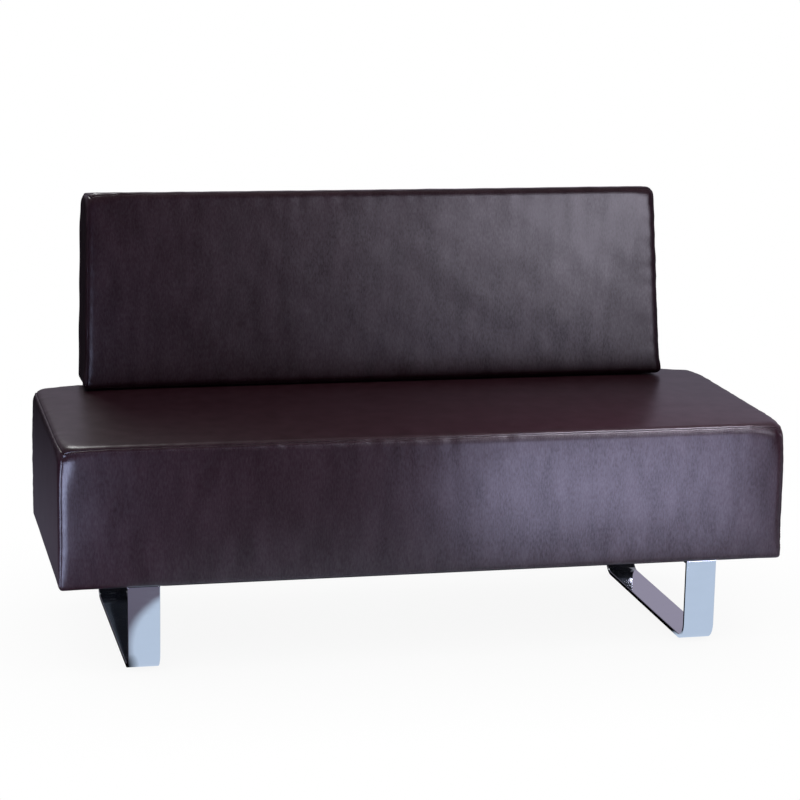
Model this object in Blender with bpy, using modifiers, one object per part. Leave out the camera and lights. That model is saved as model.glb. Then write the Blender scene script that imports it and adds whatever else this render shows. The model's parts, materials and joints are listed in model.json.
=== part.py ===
"""Waiting room sofa, as an assembly of its separate pieces.

A padded box seat stands on two chromed sled legs, and a leaning back cushion is carried behind it on two
bent steel bars. Units are metres and +Z is up. The sofa faces -Y, its left is -X, and its origin lies on the
floor under the middle of its outer box.
"""

import math

import bmesh
import bpy
from mathutils import Matrix, Vector

# Fits
GAP = 0.0003  # between faces that meet
HOLE_CLEARANCE = 0.0005  # around a bolt or a bar in its hole
CUT_MARGIN = 0.010  # how far a cutter runs past the face it opens
SAME_POINT = 0.000005  # points closer than this are one point

# Upholstery
COVER_WALL = 0.0025  # faux leather with its bonded backing
HEM_WIDTH = 0.030  # cover turned over the frame's edge
CROWN_RUN = 0.200  # distance from an edge over which a padded face rises
GRID_STEPS = (0.045, 0.120, 0.240)  # distances from an edge where a padded face can bend
GRID_REACH = 0.8  # share of a face's half length that these distances may take up
ROUND_SEGMENTS = 3

# Seat
SEAT_LENGTH = 1.400
SEAT_DEPTH = 0.550
SEAT_HEIGHT = 0.268  # from its bottom edge to its top edge, without the crown
SEAT_ABOVE_FLOOR = 0.168
SEAT_TOP_RADIUS = 0.014
SEAT_BOTTOM_RADIUS = 0.005
SEAT_TOP_CROWN = 0.008
SEAT_SIDE_CROWN = 0.003
SEAT_FOAM_THICKNESS = 0.055
PADDING_THICKNESS = 0.012
DECK_THICKNESS = 0.012
RAIL_THICKNESS = 0.022
BLOCK_SIZE = 0.040
DUST_COVER_THICKNESS = 0.001
DUST_COVER_INSET = 0.015

# Legs
LEG_WIDTH = 0.060
LEG_THICKNESS = 0.008
LEG_BEND_RADIUS = 0.036  # outside of the bend
LEG_EDGE = 0.001
LEG_EDGE_ANGLE = math.radians(60)  # edges sharper than this are eased
LEG_END_SETBACK = 0.128  # from the end of the seat to the bar
LEG_FRONT_SETBACK = 0.015
LEG_REAR_SETBACK = 0.030
LEG_PLATE_THICKNESS = 0.006
LEG_RAIL_WIDTH = 0.070
LEG_RAIL_HEIGHT = 0.040
LEG_BOLT_SETBACK = 0.065  # from the inner face of an upright to the middle of a bolt
GLIDE_RADIUS = 0.014
GLIDE_THICKNESS = 0.002
GLIDE_SETBACK = 0.060  # from the outer face of an upright to the middle of the glide
BEND_STEPS = 6

# Back
BACK_LENGTH = 1.202  # at its bottom edge
BACK_TAPER = 0.0115  # narrowing of each side towards the top
BACK_HEIGHT = 0.391
BACK_DEPTH = 0.140  # without the rear panel
BACK_LEAN = math.radians(7.75)
BACK_UNDERSIDE_FALL = math.radians(2)  # slope of the underside, down to the rear
BACK_FRONT_RADIUS = 0.014
BACK_REAR_RADIUS = 0.005
BACK_CROWN = 0.010
BACK_DRAW_IN = 0.003
BACK_SEAT_GAP = 0.0005  # over the seat's crown, under the front of the back
BACK_FOAM_THICKNESS = 0.064
BACK_EDGE_PADDING = 0.010
BACK_BOARD_THICKNESS = 0.018
BACK_RAIL_WIDTH = 0.030
BACK_PANEL_THICKNESS = 0.005
BACK_PANEL_INSET = 0.012
BACK_PANEL_EDGE = 0.0015

# Back brackets
BRACKET_WIDTH = 0.050
BRACKET_THICKNESS = 0.006
BRACKET_BEND_RADIUS = 0.030
BRACKET_END_SETBACK = 0.250  # from the end of the back to the middle of the bar
BRACKET_HOLD = 0.110  # length held on the seat's rear rail
BRACKET_TIP_GAP = 0.078  # from its tip to the back's top rail
BRACKET_BOLT_EDGE = 0.025
BRACKET_BOLT_BACKING = 0.006  # rail left behind the tip of a bolt
BRACKET_SCREW_EDGE = 0.030
BRACKET_SCREW_BACKING = 0.004  # board left behind the tip of a screw

# Fasteners
BOLT_RADIUS = 0.004
BOLT_HEAD_FLATS = 0.013
BOLT_HEAD_HEIGHT = 0.0053
TEE_NUT_FLANGE_WIDTH = 0.0055
TEE_NUT_FLANGE_THICKNESS = 0.0015
TEE_NUT_BARREL_WALL = 0.0012
TEE_NUT_BARREL_LENGTH = 0.011
TEE_NUT_SPACING = 0.008  # between the flanges of a pair
SCREW_RADIUS = 0.0025
SCREW_HEAD_RADIUS = 0.0055
SCREW_HEAD_HEIGHT = 0.003
HEX_SIDES = 6
SHANK_SIDES = 12
TURNED_SIDES = 16
GLIDE_SIDES = 24


def rise(distance):
    """Return how much of a padded face's crown is reached at a distance from its edge."""
    left = 1.0 - min(distance / CROWN_RUN, 1.0)
    return 1.0 - left * left


def settled(depth, height):
    """Return the height up the back of a point once the underside lies along the seat."""
    lift = depth * math.tan(BACK_LEAN - BACK_UNDERSIDE_FALL)
    return height + lift * (1.0 - height / BACK_HEIGHT)


# Seat layout, in the seat's frame: its middle, at the level of its bottom edge
SEAT_INNER_X = SEAT_LENGTH / 2 - COVER_WALL
SEAT_INNER_Y = SEAT_DEPTH / 2 - COVER_WALL
SEAT_CORNER_RADIUS = PADDING_THICKNESS + COVER_WALL
FRAME_X = SEAT_INNER_X - PADDING_THICKNESS - 2 * GAP
FRAME_FRONT = -(SEAT_INNER_Y - PADDING_THICKNESS - 2 * GAP)
FRAME_REAR = SEAT_INNER_Y - GAP
FOAM_TOP = SEAT_HEIGHT - COVER_WALL - GAP
FOAM_BOTTOM = FOAM_TOP - SEAT_FOAM_THICKNESS
DECK_TOP = FOAM_BOTTOM - GAP
DECK_BOTTOM = DECK_TOP - DECK_THICKNESS
RAIL_TOP = DECK_BOTTOM - GAP
RAIL_BOTTOM = COVER_WALL + GAP
BAY_FRONT = FRAME_FRONT + RAIL_THICKNESS + GAP
BAY_REAR = FRAME_REAR - RAIL_THICKNESS - GAP
BAY_X = FRAME_X - RAIL_THICKNESS - GAP
LEG_TOP = -2 * GAP - DUST_COVER_THICKNESS
LEG_X = SEAT_LENGTH / 2 - LEG_END_SETBACK - LEG_WIDTH / 2
LEG_FRONT = -SEAT_DEPTH / 2 + LEG_FRONT_SETBACK
LEG_REAR = SEAT_DEPTH / 2 - LEG_REAR_SETBACK
LEG_RAIL_TOP = RAIL_BOTTOM + LEG_RAIL_HEIGHT
LEG_PLATE_BOTTOM = LEG_TOP - LEG_PLATE_THICKNESS
LEG_BOLT_LENGTH = LEG_RAIL_TOP + TEE_NUT_FLANGE_THICKNESS - LEG_PLATE_BOTTOM
LEG_BOLT_FRONT = LEG_FRONT + LEG_THICKNESS + LEG_BOLT_SETBACK
LEG_BOLT_REAR = LEG_REAR - LEG_THICKNESS - LEG_BOLT_SETBACK
TEE_NUT_BORE = BOLT_RADIUS + GAP
TEE_NUT_BARREL_RADIUS = TEE_NUT_BORE + TEE_NUT_BARREL_WALL
TEE_NUT_FLANGE_RADIUS = TEE_NUT_BARREL_RADIUS + TEE_NUT_FLANGE_WIDTH
LEG_BOLT_OFFSET = TEE_NUT_FLANGE_RADIUS + TEE_NUT_SPACING / 2
BRACKET_FACE = SEAT_DEPTH / 2 + GAP
BRACKET_BOLT_SEAT = BRACKET_FACE + BRACKET_THICKNESS + GAP
BRACKET_BOLT_LENGTH = BRACKET_BOLT_SEAT - FRAME_REAR + RAIL_THICKNESS - BRACKET_BOLT_BACKING
BRACKET_FOOT = RAIL_TOP - BRACKET_HOLD

# Back layout, in the back's frame: the middle of its front bottom edge, with Y as depth and Z up the back
BACK_INNER_X = BACK_LENGTH / 2 - COVER_WALL
BACK_INNER_REAR = BACK_DEPTH - COVER_WALL
BACK_INNER_TOP = BACK_HEIGHT - COVER_WALL
BACK_CORNER_RADIUS = BACK_EDGE_PADDING + COVER_WALL
BACK_FRAME_INSET = COVER_WALL + BACK_EDGE_PADDING + 2 * GAP
BACK_FRAME_X = BACK_LENGTH / 2 - BACK_FRAME_INSET
BACK_FRAME_LOW = BACK_FRAME_INSET
BACK_FRAME_HIGH = BACK_HEIGHT - BACK_FRAME_INSET
BOARD_FRONT = COVER_WALL + BACK_FOAM_THICKNESS + 2 * GAP
BOARD_REAR = BOARD_FRONT + BACK_BOARD_THICKNESS
BACK_RAIL_FRONT = BOARD_REAR + GAP
BACK_RAIL_REAR = BACK_INNER_REAR - GAP
BRACKET_X = BACK_LENGTH / 2 - BRACKET_END_SETBACK
BRACKET_DEPTH = BOARD_REAR + GAP
BRACKET_REAR = BRACKET_DEPTH + BRACKET_THICKNESS
BRACKET_REACH = settled(BRACKET_DEPTH, BACK_FRAME_HIGH - BACK_RAIL_WIDTH) - BRACKET_TIP_GAP
BRACKET_SCREW_SEAT = BRACKET_REAR + GAP
BRACKET_SCREW_LENGTH = BRACKET_SCREW_SEAT - BOARD_FRONT - BRACKET_SCREW_BACKING
BOTTOM_RAIL_TOP = settled(BRACKET_REAR, BACK_FRAME_LOW + BACK_RAIL_WIDTH)
BRACKET_SCREW_LOW = BOTTOM_RAIL_TOP + BRACKET_SCREW_EDGE
BRACKET_SCREW_HIGH = BRACKET_REACH - BRACKET_SCREW_EDGE
PANEL_FRONT = BACK_DEPTH + GAP
PANEL_REAR = PANEL_FRONT + BACK_PANEL_THICKNESS
PANEL_TOP = BACK_HEIGHT - BACK_PANEL_INSET

# Places of the frames, of the brackets' bend and of the outer box's middle
BACK_ORIGIN_Y = BRACKET_FACE - BRACKET_DEPTH * math.cos(BACK_LEAN)
BACK_ORIGIN_Z = SEAT_HEIGHT + SEAT_TOP_CROWN * rise(SEAT_DEPTH / 2 - BACK_ORIGIN_Y) + BACK_SEAT_GAP
BRACKET_BEND = BACK_ORIGIN_Z - BRACKET_DEPTH * math.sin(BACK_LEAN)
BOX_FRONT = -SEAT_DEPTH / 2 - SEAT_SIDE_CROWN
PANEL_CORNER = PANEL_REAR * math.cos(BACK_LEAN) + settled(PANEL_REAR, PANEL_TOP) * math.sin(BACK_LEAN)
BOX_MIDDLE_Y = (BOX_FRONT + BACK_ORIGIN_Y + PANEL_CORNER) / 2

AXES = "xyz"
SIDES = {"left": -1, "right": 1}
# Turns an outline drawn in X and Y so that it stands in Y and Z and is as wide as it is in X
UPRIGHT = (math.pi / 2, 0.0, math.pi / 2)
# Turns a rod that rises so that it runs forward
FORWARD = Matrix.Rotation(math.pi / 2, 4, "X")


def clear_scene():
    """Remove every object that is in the scene."""
    for obj in list(bpy.data.objects):
        bpy.data.objects.remove(obj, do_unlink=True)


def new_collection(name):
    """Return a new collection linked to the scene."""
    made = bpy.data.collections.new(name)
    bpy.context.scene.collection.children.link(made)
    return made


def finish(name, colour, roughness, metallic=0.0):
    """Return a Principled material of one colour."""
    made = bpy.data.materials.new(name)
    made.use_nodes = True
    shader = made.node_tree.nodes["Principled BSDF"]
    shader.inputs["Base Color"].default_value = (*colour, 1.0)
    shader.inputs["Roughness"].default_value = roughness
    shader.inputs["Metallic"].default_value = metallic
    made.diffuse_color = (*colour, 1.0)
    return made


clear_scene()
SOFA = new_collection("waiting_room_sofa")
CUTTERS = new_collection("cutters")

LEATHER = finish("faux_leather", (0.030, 0.014, 0.020), 0.38)
CHROME = finish("chromed_bar", (0.62, 0.66, 0.71), 0.06, 1.0)
ZINC = finish("zinc_steel", (0.50, 0.50, 0.49), 0.35, 1.0)
BLACK_STEEL = finish("black_steel", (0.020, 0.020, 0.022), 0.45)
PLYWOOD = finish("plywood", (0.56, 0.40, 0.24), 0.65)
TIMBER = finish("timber", (0.62, 0.46, 0.28), 0.70)
FOAM = finish("foam", (0.72, 0.66, 0.48), 0.90)
DUST_CLOTH = finish("dust_cloth", (0.015, 0.015, 0.016), 0.95)
GLIDE_PLASTIC = finish("glide_plastic", (0.030, 0.030, 0.032), 0.55)


def new_frame(name, parent, location, rotation=(0.0, 0.0, 0.0)):
    """Return an empty that pieces are placed in."""
    made = bpy.data.objects.new(name, None)
    made.parent = parent
    made.location = location
    made.rotation_euler = rotation
    SOFA.objects.link(made)
    return made


def add_piece(name, mesh, frame, material, location=(0.0, 0.0, 0.0), rotation=(0.0, 0.0, 0.0)):
    """Return a named piece of the sofa made from a mesh and placed in a frame."""
    made = bpy.data.objects.new(name, mesh)
    if not mesh.materials:
        mesh.materials.append(material)
    made.parent = frame
    made.location = location
    made.rotation_euler = rotation
    SOFA.objects.link(made)
    return made


def add_cutter(name, mesh, frame):
    """Return a cutter, which is kept out of the sofa's own collection."""
    made = bpy.data.objects.new(name, mesh)
    made.parent = frame
    made.hide_render = True
    made.display_type = "WIRE"
    CUTTERS.objects.link(made)
    return made


def cut(piece, *cutters):
    """Take each cutter out of a piece."""
    for cutter in cutters:
        boolean = piece.modifiers.new(cutter.name, "BOOLEAN")
        boolean.operation = "DIFFERENCE"
        boolean.solver = "EXACT"
        boolean.object = cutter


def mesh_of(name, bm):
    """Return a new mesh from a bmesh, which is freed."""
    made = bpy.data.meshes.new(name)
    bm.to_mesh(made)
    bm.free()
    return made


def evaluated_mesh(name, obj):
    """Return the mesh of an object with its modifiers applied and its doubled points welded."""
    scene_linked = bpy.context.scene.collection.objects
    scene_linked.link(obj)
    graph = bpy.context.evaluated_depsgraph_get()
    made = bpy.data.meshes.new_from_object(obj.evaluated_get(graph))
    scene_linked.unlink(obj)
    bm = bmesh.new()
    bm.from_mesh(made)
    bmesh.ops.remove_doubles(bm, verts=bm.verts, dist=SAME_POINT)
    bm.to_mesh(made)
    bm.free()
    made.name = name
    return made


def fill_box(bm, low, high):
    """Add a box between two corners to a bmesh."""
    size = Vector(high) - Vector(low)
    middle = (Vector(high) + Vector(low)) / 2
    matrix = Matrix.Translation(middle) @ Matrix.Diagonal((*size, 1.0))
    bmesh.ops.create_cube(bm, size=1.0, matrix=matrix)


def box_mesh(name, low, high):
    """Return the mesh of a box between two corners."""
    bm = bmesh.new()
    fill_box(bm, low, high)
    return mesh_of(name, bm)


def rods_mesh(name, radius, starts, length, sides=SHANK_SIDES, turn=Matrix()):
    """Return the mesh of equal round rods, each rising from its start or turned to run another way."""
    bm = bmesh.new()
    for start in starts:
        matrix = Matrix.Translation(start) @ turn @ Matrix.Translation((0.0, 0.0, length / 2))
        bmesh.ops.create_cone(
            bm, cap_ends=True, segments=sides, radius1=radius, radius2=radius, depth=length, matrix=matrix
        )
    return mesh_of(name, bm)


def turned_mesh(name, profile, closed=False):
    """Return a mesh turned about Z from a profile of radius and height, listed from top to bottom outside."""
    bm = bmesh.new()
    points = [bm.verts.new((radius, 0.0, height)) for radius, height in profile]
    for first, second in zip(points, points[1:]):
        bm.edges.new((first, second))
    if closed:
        bm.edges.new((points[-1], points[0]))
    lathe = bpy.data.objects.new(name, mesh_of(name + "_profile", bm))
    screw = lathe.modifiers.new("turn", "SCREW")
    screw.steps = TURNED_SIDES
    screw.render_steps = TURNED_SIDES
    screw.use_merge_vertices = True
    screw.merge_threshold = SAME_POINT
    made = evaluated_mesh(name, lathe)
    bpy.data.objects.remove(lathe)
    return made


def hex_bolt_mesh(name, length):
    """Return a hex bolt whose head lies under Z zero and whose shank rises to its length."""
    head_radius = BOLT_HEAD_FLATS / 2 / math.cos(math.pi / HEX_SIDES)
    head_start = (0.0, 0.0, -BOLT_HEAD_HEIGHT)
    shank_start = (0.0, 0.0, -BOLT_HEAD_HEIGHT / 2)
    head = bpy.data.objects.new(
        name, rods_mesh(name + "_head", head_radius, [head_start], BOLT_HEAD_HEIGHT, HEX_SIDES)
    )
    shank_length = length + BOLT_HEAD_HEIGHT / 2
    shank = add_cutter(
        name + "_shank", rods_mesh(name + "_shank", BOLT_RADIUS, [shank_start], shank_length), None
    )
    join = head.modifiers.new("shank", "BOOLEAN")
    join.operation = "UNION"
    join.solver = "EXACT"
    join.object = shank
    made = evaluated_mesh(name, head)
    bpy.data.objects.remove(head)
    bpy.data.objects.remove(shank)
    return made


def bar_outline(points, radius, thickness):
    """Return the outline of a flat bar seen on edge.

    The points are corners of its outer face, listed so that every bend turns left, and the radius is that
    of the outer face of each bend.
    """
    corners = [Vector(point) for point in points]
    outer = [corners[0]]
    first_run = (corners[1] - corners[0]).normalized()
    inner = [corners[0] + Vector((-first_run.y, first_run.x)) * thickness]
    for before, corner, after in zip(corners, corners[1:], corners[2:]):
        run_in = (corner - before).normalized()
        run_out = (after - corner).normalized()
        turn = math.acos(run_in.dot(run_out))
        left = Vector((-run_in.y, run_in.x))
        centre = corner - run_in * radius * math.tan(turn / 2) + left * radius
        for step in range(BEND_STEPS + 1):
            spoke = Matrix.Rotation(turn * step / BEND_STEPS, 2) @ -left
            outer.append(centre + spoke * radius)
            inner.append(centre + spoke * (radius - thickness))
    last_run = (corners[-1] - corners[-2]).normalized()
    outer.append(corners[-1])
    inner.append(corners[-1] + Vector((-last_run.y, last_run.x)) * thickness)
    return outer + inner[::-1]


def plate_mesh(name, outline, width):
    """Return the mesh of an outline filled and given a width."""
    curve = bpy.data.curves.new(name, "CURVE")
    curve.dimensions = "2D"
    curve.fill_mode = "BOTH"
    curve.extrude = width / 2
    spline = curve.splines.new("POLY")
    spline.points.add(len(outline) - 1)
    for point, place in zip(spline.points, outline):
        point.co = (place.x, place.y, 0.0, 1.0)
    spline.use_cyclic_u = True
    drawn = bpy.data.objects.new(name, curve)
    made = evaluated_mesh(name, drawn)
    bpy.data.objects.remove(drawn)
    return made


def faces_at(point, low, high):
    """Return the faces of a box that a point lies on, as pairs of axis and end."""
    found = set()
    for axis, place, start, stop in zip(AXES, point, low, high):
        if abs(place - start) < SAME_POINT:
            found.add((axis, "low"))
        if abs(place - stop) < SAME_POINT:
            found.add((axis, "high"))
    return found


def grid_cuts(low, high):
    """Return the places along one axis where a padded box is divided."""
    half = (high - low) / 2
    places = [(low + high) / 2]
    for step in GRID_STEPS:
        if step < GRID_REACH * half:
            places.append(low + step)
            places.append(high - step)
    return places


def padded_block(low, high, crowns, draw_ins):
    """Return a divided box, and how far each of its points moves to give it its padded form.

    A crown belongs to a face, given as its axis and end, and makes the face swell. A drawn-in face has its
    amount and the axis along which it dips between its ends.
    """
    bm = bmesh.new()
    fill_box(bm, low, high)
    for index, (start, stop) in enumerate(zip(low, high)):
        normal = Vector()
        normal[index] = 1.0
        for place in grid_cuts(start, stop):
            everything = bm.verts[:] + bm.edges[:] + bm.faces[:]
            bmesh.ops.bisect_plane(bm, geom=everything, plane_co=normal * place, plane_no=normal)
    moved = {}
    for vert in bm.verts:
        risen = {}
        for axis, place, start, stop in zip(AXES, vert.co, low, high):
            risen[axis] = rise(min(place - start, stop - place))
        offset = Vector()
        for axis, end in faces_at(vert.co, low, high):
            swelling = crowns.get((axis, end), 0.0)
            for other in AXES:
                if other != axis:
                    swelling *= risen[other]
            if (axis, end) in draw_ins:
                amount, along = draw_ins[axis, end]
                swelling -= amount * risen[along]
            offset[AXES.index(axis)] += swelling if end == "high" else -swelling
        moved[vert] = offset
    return bm, moved


def round_edges(bm, low, high, radius_of):
    """Give every box edge its share of the widest rounding, and return that widest radius."""
    weights = bm.edges.layers.float.new("bevel_weight_edge")
    radii = {}
    for edge in bm.edges:
        shared = faces_at(edge.verts[0].co, low, high) & faces_at(edge.verts[1].co, low, high)
        if len(shared) == 2:
            radii[edge] = radius_of(shared)
    widest = max(radii.values())
    for edge, radius in radii.items():
        edge[weights] = radius / widest
    return widest


def swell(bm, moved):
    """Move the points of a padded block to its padded form, and shade it smooth."""
    for vert, offset in moved.items():
        vert.co += offset
    for face in bm.faces:
        face.smooth = True


def add_rounding(obj, radius):
    """Round a padded block's weighted edges, and split its bent faces the same way on every block."""
    bevel = obj.modifiers.new("round", "BEVEL")
    bevel.limit_method = "WEIGHT"
    bevel.width = radius
    bevel.segments = ROUND_SEGMENTS
    facets = obj.modifiers.new("facets", "TRIANGULATE")
    facets.quad_method = "FIXED"


def seat_form(name, low, high, top_radius, bottom_radius, corner_radius, sides_swell):
    """Return the mesh of a seat block, crowned on top, and the widest radius of its edges."""

    def radius_of(shared):
        if ("z", "high") in shared:
            return top_radius
        if ("z", "low") in shared:
            return bottom_radius
        return corner_radius

    side = SEAT_SIDE_CROWN if sides_swell else 0.0
    crowns = {("z", "high"): SEAT_TOP_CROWN, ("y", "low"): side, ("x", "low"): side, ("x", "high"): side}
    bm, moved = padded_block(low, high, crowns, {})
    widest = round_edges(bm, low, high, radius_of)
    swell(bm, moved)
    return mesh_of(name, bm), widest


def back_form(name, low, high, front_radius, rear_radius, corner_radius):
    """Return the mesh of a back block, crowned in front and drawn in, and its widest radius."""

    def radius_of(shared):
        if ("y", "low") in shared:
            return front_radius
        if ("y", "high") in shared:
            return rear_radius
        return corner_radius

    crowns = {("y", "low"): BACK_CROWN}
    draw_ins = {
        ("x", "low"): (BACK_DRAW_IN, "z"),
        ("x", "high"): (BACK_DRAW_IN, "z"),
        ("z", "high"): (BACK_DRAW_IN, "x"),
    }
    bm, moved = padded_block(low, high, crowns, draw_ins)
    widest = round_edges(bm, low, high, radius_of)
    swell(bm, moved)
    settle_and_taper(bm)
    return mesh_of(name, bm), widest


def settle_and_taper(bm):
    """Lift the rear of a back piece's underside, and narrow the piece towards the top of the back."""
    for vert in bm.verts:
        vert.co.z = settled(vert.co.y, vert.co.z)
        vert.co.x *= 1.0 - BACK_TAPER / (BACK_LENGTH / 2) * vert.co.z / BACK_HEIGHT


def back_box_mesh(name, low, high):
    """Return a box of the back's frame, which follows the back's underside and taper."""
    bm = bmesh.new()
    fill_box(bm, low, high)
    settle_and_taper(bm)
    return mesh_of(name, bm)


def build_seat_upholstery(seat):
    """Make the seat's cover, foam, side padding and dust cover, and return the cover and dust cover."""
    low = (-SEAT_LENGTH / 2, -SEAT_DEPTH / 2, 0.0)
    high = (SEAT_LENGTH / 2, SEAT_DEPTH / 2, SEAT_HEIGHT)
    mesh, widest = seat_form(
        "seat_cover", low, high, SEAT_TOP_RADIUS, SEAT_BOTTOM_RADIUS, SEAT_CORNER_RADIUS, True
    )
    cover = add_piece("seat_cover", mesh, seat, LEATHER)
    add_rounding(cover, widest)

    low = (-SEAT_INNER_X, -SEAT_INNER_Y, COVER_WALL)
    high = (SEAT_INNER_X, SEAT_INNER_Y, SEAT_HEIGHT - COVER_WALL)
    inner_radius = SEAT_TOP_RADIUS - COVER_WALL
    mesh, widest = seat_form("seat_hollow", low, high, inner_radius, 0.0, PADDING_THICKNESS, True)
    hollow = add_cutter("seat_hollow", mesh, seat)
    add_rounding(hollow, widest)
    open_x = SEAT_LENGTH / 2 - HEM_WIDTH
    open_y = SEAT_DEPTH / 2 - HEM_WIDTH
    low = (-open_x, -open_y, -CUT_MARGIN)
    high = (open_x, open_y, COVER_WALL + CUT_MARGIN)
    opening = add_cutter("seat_hem_opening", box_mesh("seat_hem_opening", low, high), seat)
    cut(cover, hollow, opening)

    low = (-SEAT_INNER_X + GAP, -SEAT_INNER_Y + GAP, FOAM_BOTTOM)
    high = (SEAT_INNER_X - GAP, SEAT_INNER_Y - GAP, FOAM_TOP)
    mesh, widest = seat_form(
        "seat_foam", low, high, inner_radius - GAP, 0.0, PADDING_THICKNESS - GAP, False
    )
    foam = add_piece("seat_foam", mesh, seat, FOAM)
    add_rounding(foam, widest)

    low = (-FRAME_X, -SEAT_INNER_Y + GAP, RAIL_BOTTOM)
    high = (FRAME_X, FRAME_FRONT - GAP, DECK_TOP)
    add_piece("seat_front_padding", box_mesh("seat_front_padding", low, high), seat, FOAM)
    for side, sign in SIDES.items():
        ends = sorted((sign * (SEAT_INNER_X - GAP), sign * (FRAME_X + GAP)))
        low = (ends[0], FRAME_FRONT, RAIL_BOTTOM)
        high = (ends[1], SEAT_INNER_Y - PADDING_THICKNESS - GAP, DECK_TOP)
        name = f"seat_{side}_padding"
        add_piece(name, box_mesh(name, low, high), seat, FOAM)

    cloth_x = SEAT_LENGTH / 2 - DUST_COVER_INSET
    cloth_y = SEAT_DEPTH / 2 - DUST_COVER_INSET
    low = (-cloth_x, -cloth_y, -GAP - DUST_COVER_THICKNESS)
    high = (cloth_x, cloth_y, -GAP)
    cloth = add_piece("dust_cover", box_mesh("dust_cover", low, high), seat, DUST_CLOTH)
    return cover, cloth


def build_seat_frame(seat):
    """Make the seat's rails, blocks and deck, and return the rear rail."""
    low = (-FRAME_X, FRAME_FRONT, DECK_BOTTOM)
    high = (FRAME_X, FRAME_REAR, DECK_TOP)
    add_piece("seat_deck", box_mesh("seat_deck", low, high), seat, PLYWOOD)

    low = (-FRAME_X, FRAME_FRONT, RAIL_BOTTOM)
    high = (FRAME_X, FRAME_FRONT + RAIL_THICKNESS, RAIL_TOP)
    add_piece("seat_front_rail", box_mesh("seat_front_rail", low, high), seat, PLYWOOD)
    low = (-FRAME_X, FRAME_REAR - RAIL_THICKNESS, RAIL_BOTTOM)
    high = (FRAME_X, FRAME_REAR, RAIL_TOP)
    rear_rail = add_piece("seat_rear_rail", box_mesh("seat_rear_rail", low, high), seat, PLYWOOD)

    half = RAIL_THICKNESS / 2
    low = (-half, BAY_FRONT, RAIL_BOTTOM)
    high = (half, BAY_REAR, RAIL_TOP)
    add_piece("seat_centre_rail", box_mesh("seat_centre_rail", low, high), seat, PLYWOOD)

    for side, sign in SIDES.items():
        ends = sorted((sign * FRAME_X, sign * (FRAME_X - RAIL_THICKNESS)))
        name = f"seat_{side}_rail"
        low = (ends[0], BAY_FRONT, RAIL_BOTTOM)
        high = (ends[1], BAY_REAR, RAIL_TOP)
        add_piece(name, box_mesh(name, low, high), seat, PLYWOOD)
        ends = sorted((sign * BAY_X, sign * (BAY_X - BLOCK_SIZE)))
        rows = {"front": (BAY_FRONT, BAY_FRONT + BLOCK_SIZE), "rear": (BAY_REAR - BLOCK_SIZE, BAY_REAR)}
        for row, (start, stop) in rows.items():
            name = f"corner_block_{row}_{side}"
            low = (ends[0], start, RAIL_BOTTOM)
            high = (ends[1], stop, RAIL_TOP)
            add_piece(name, box_mesh(name, low, high), seat, TIMBER)
    return rear_rail


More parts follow.
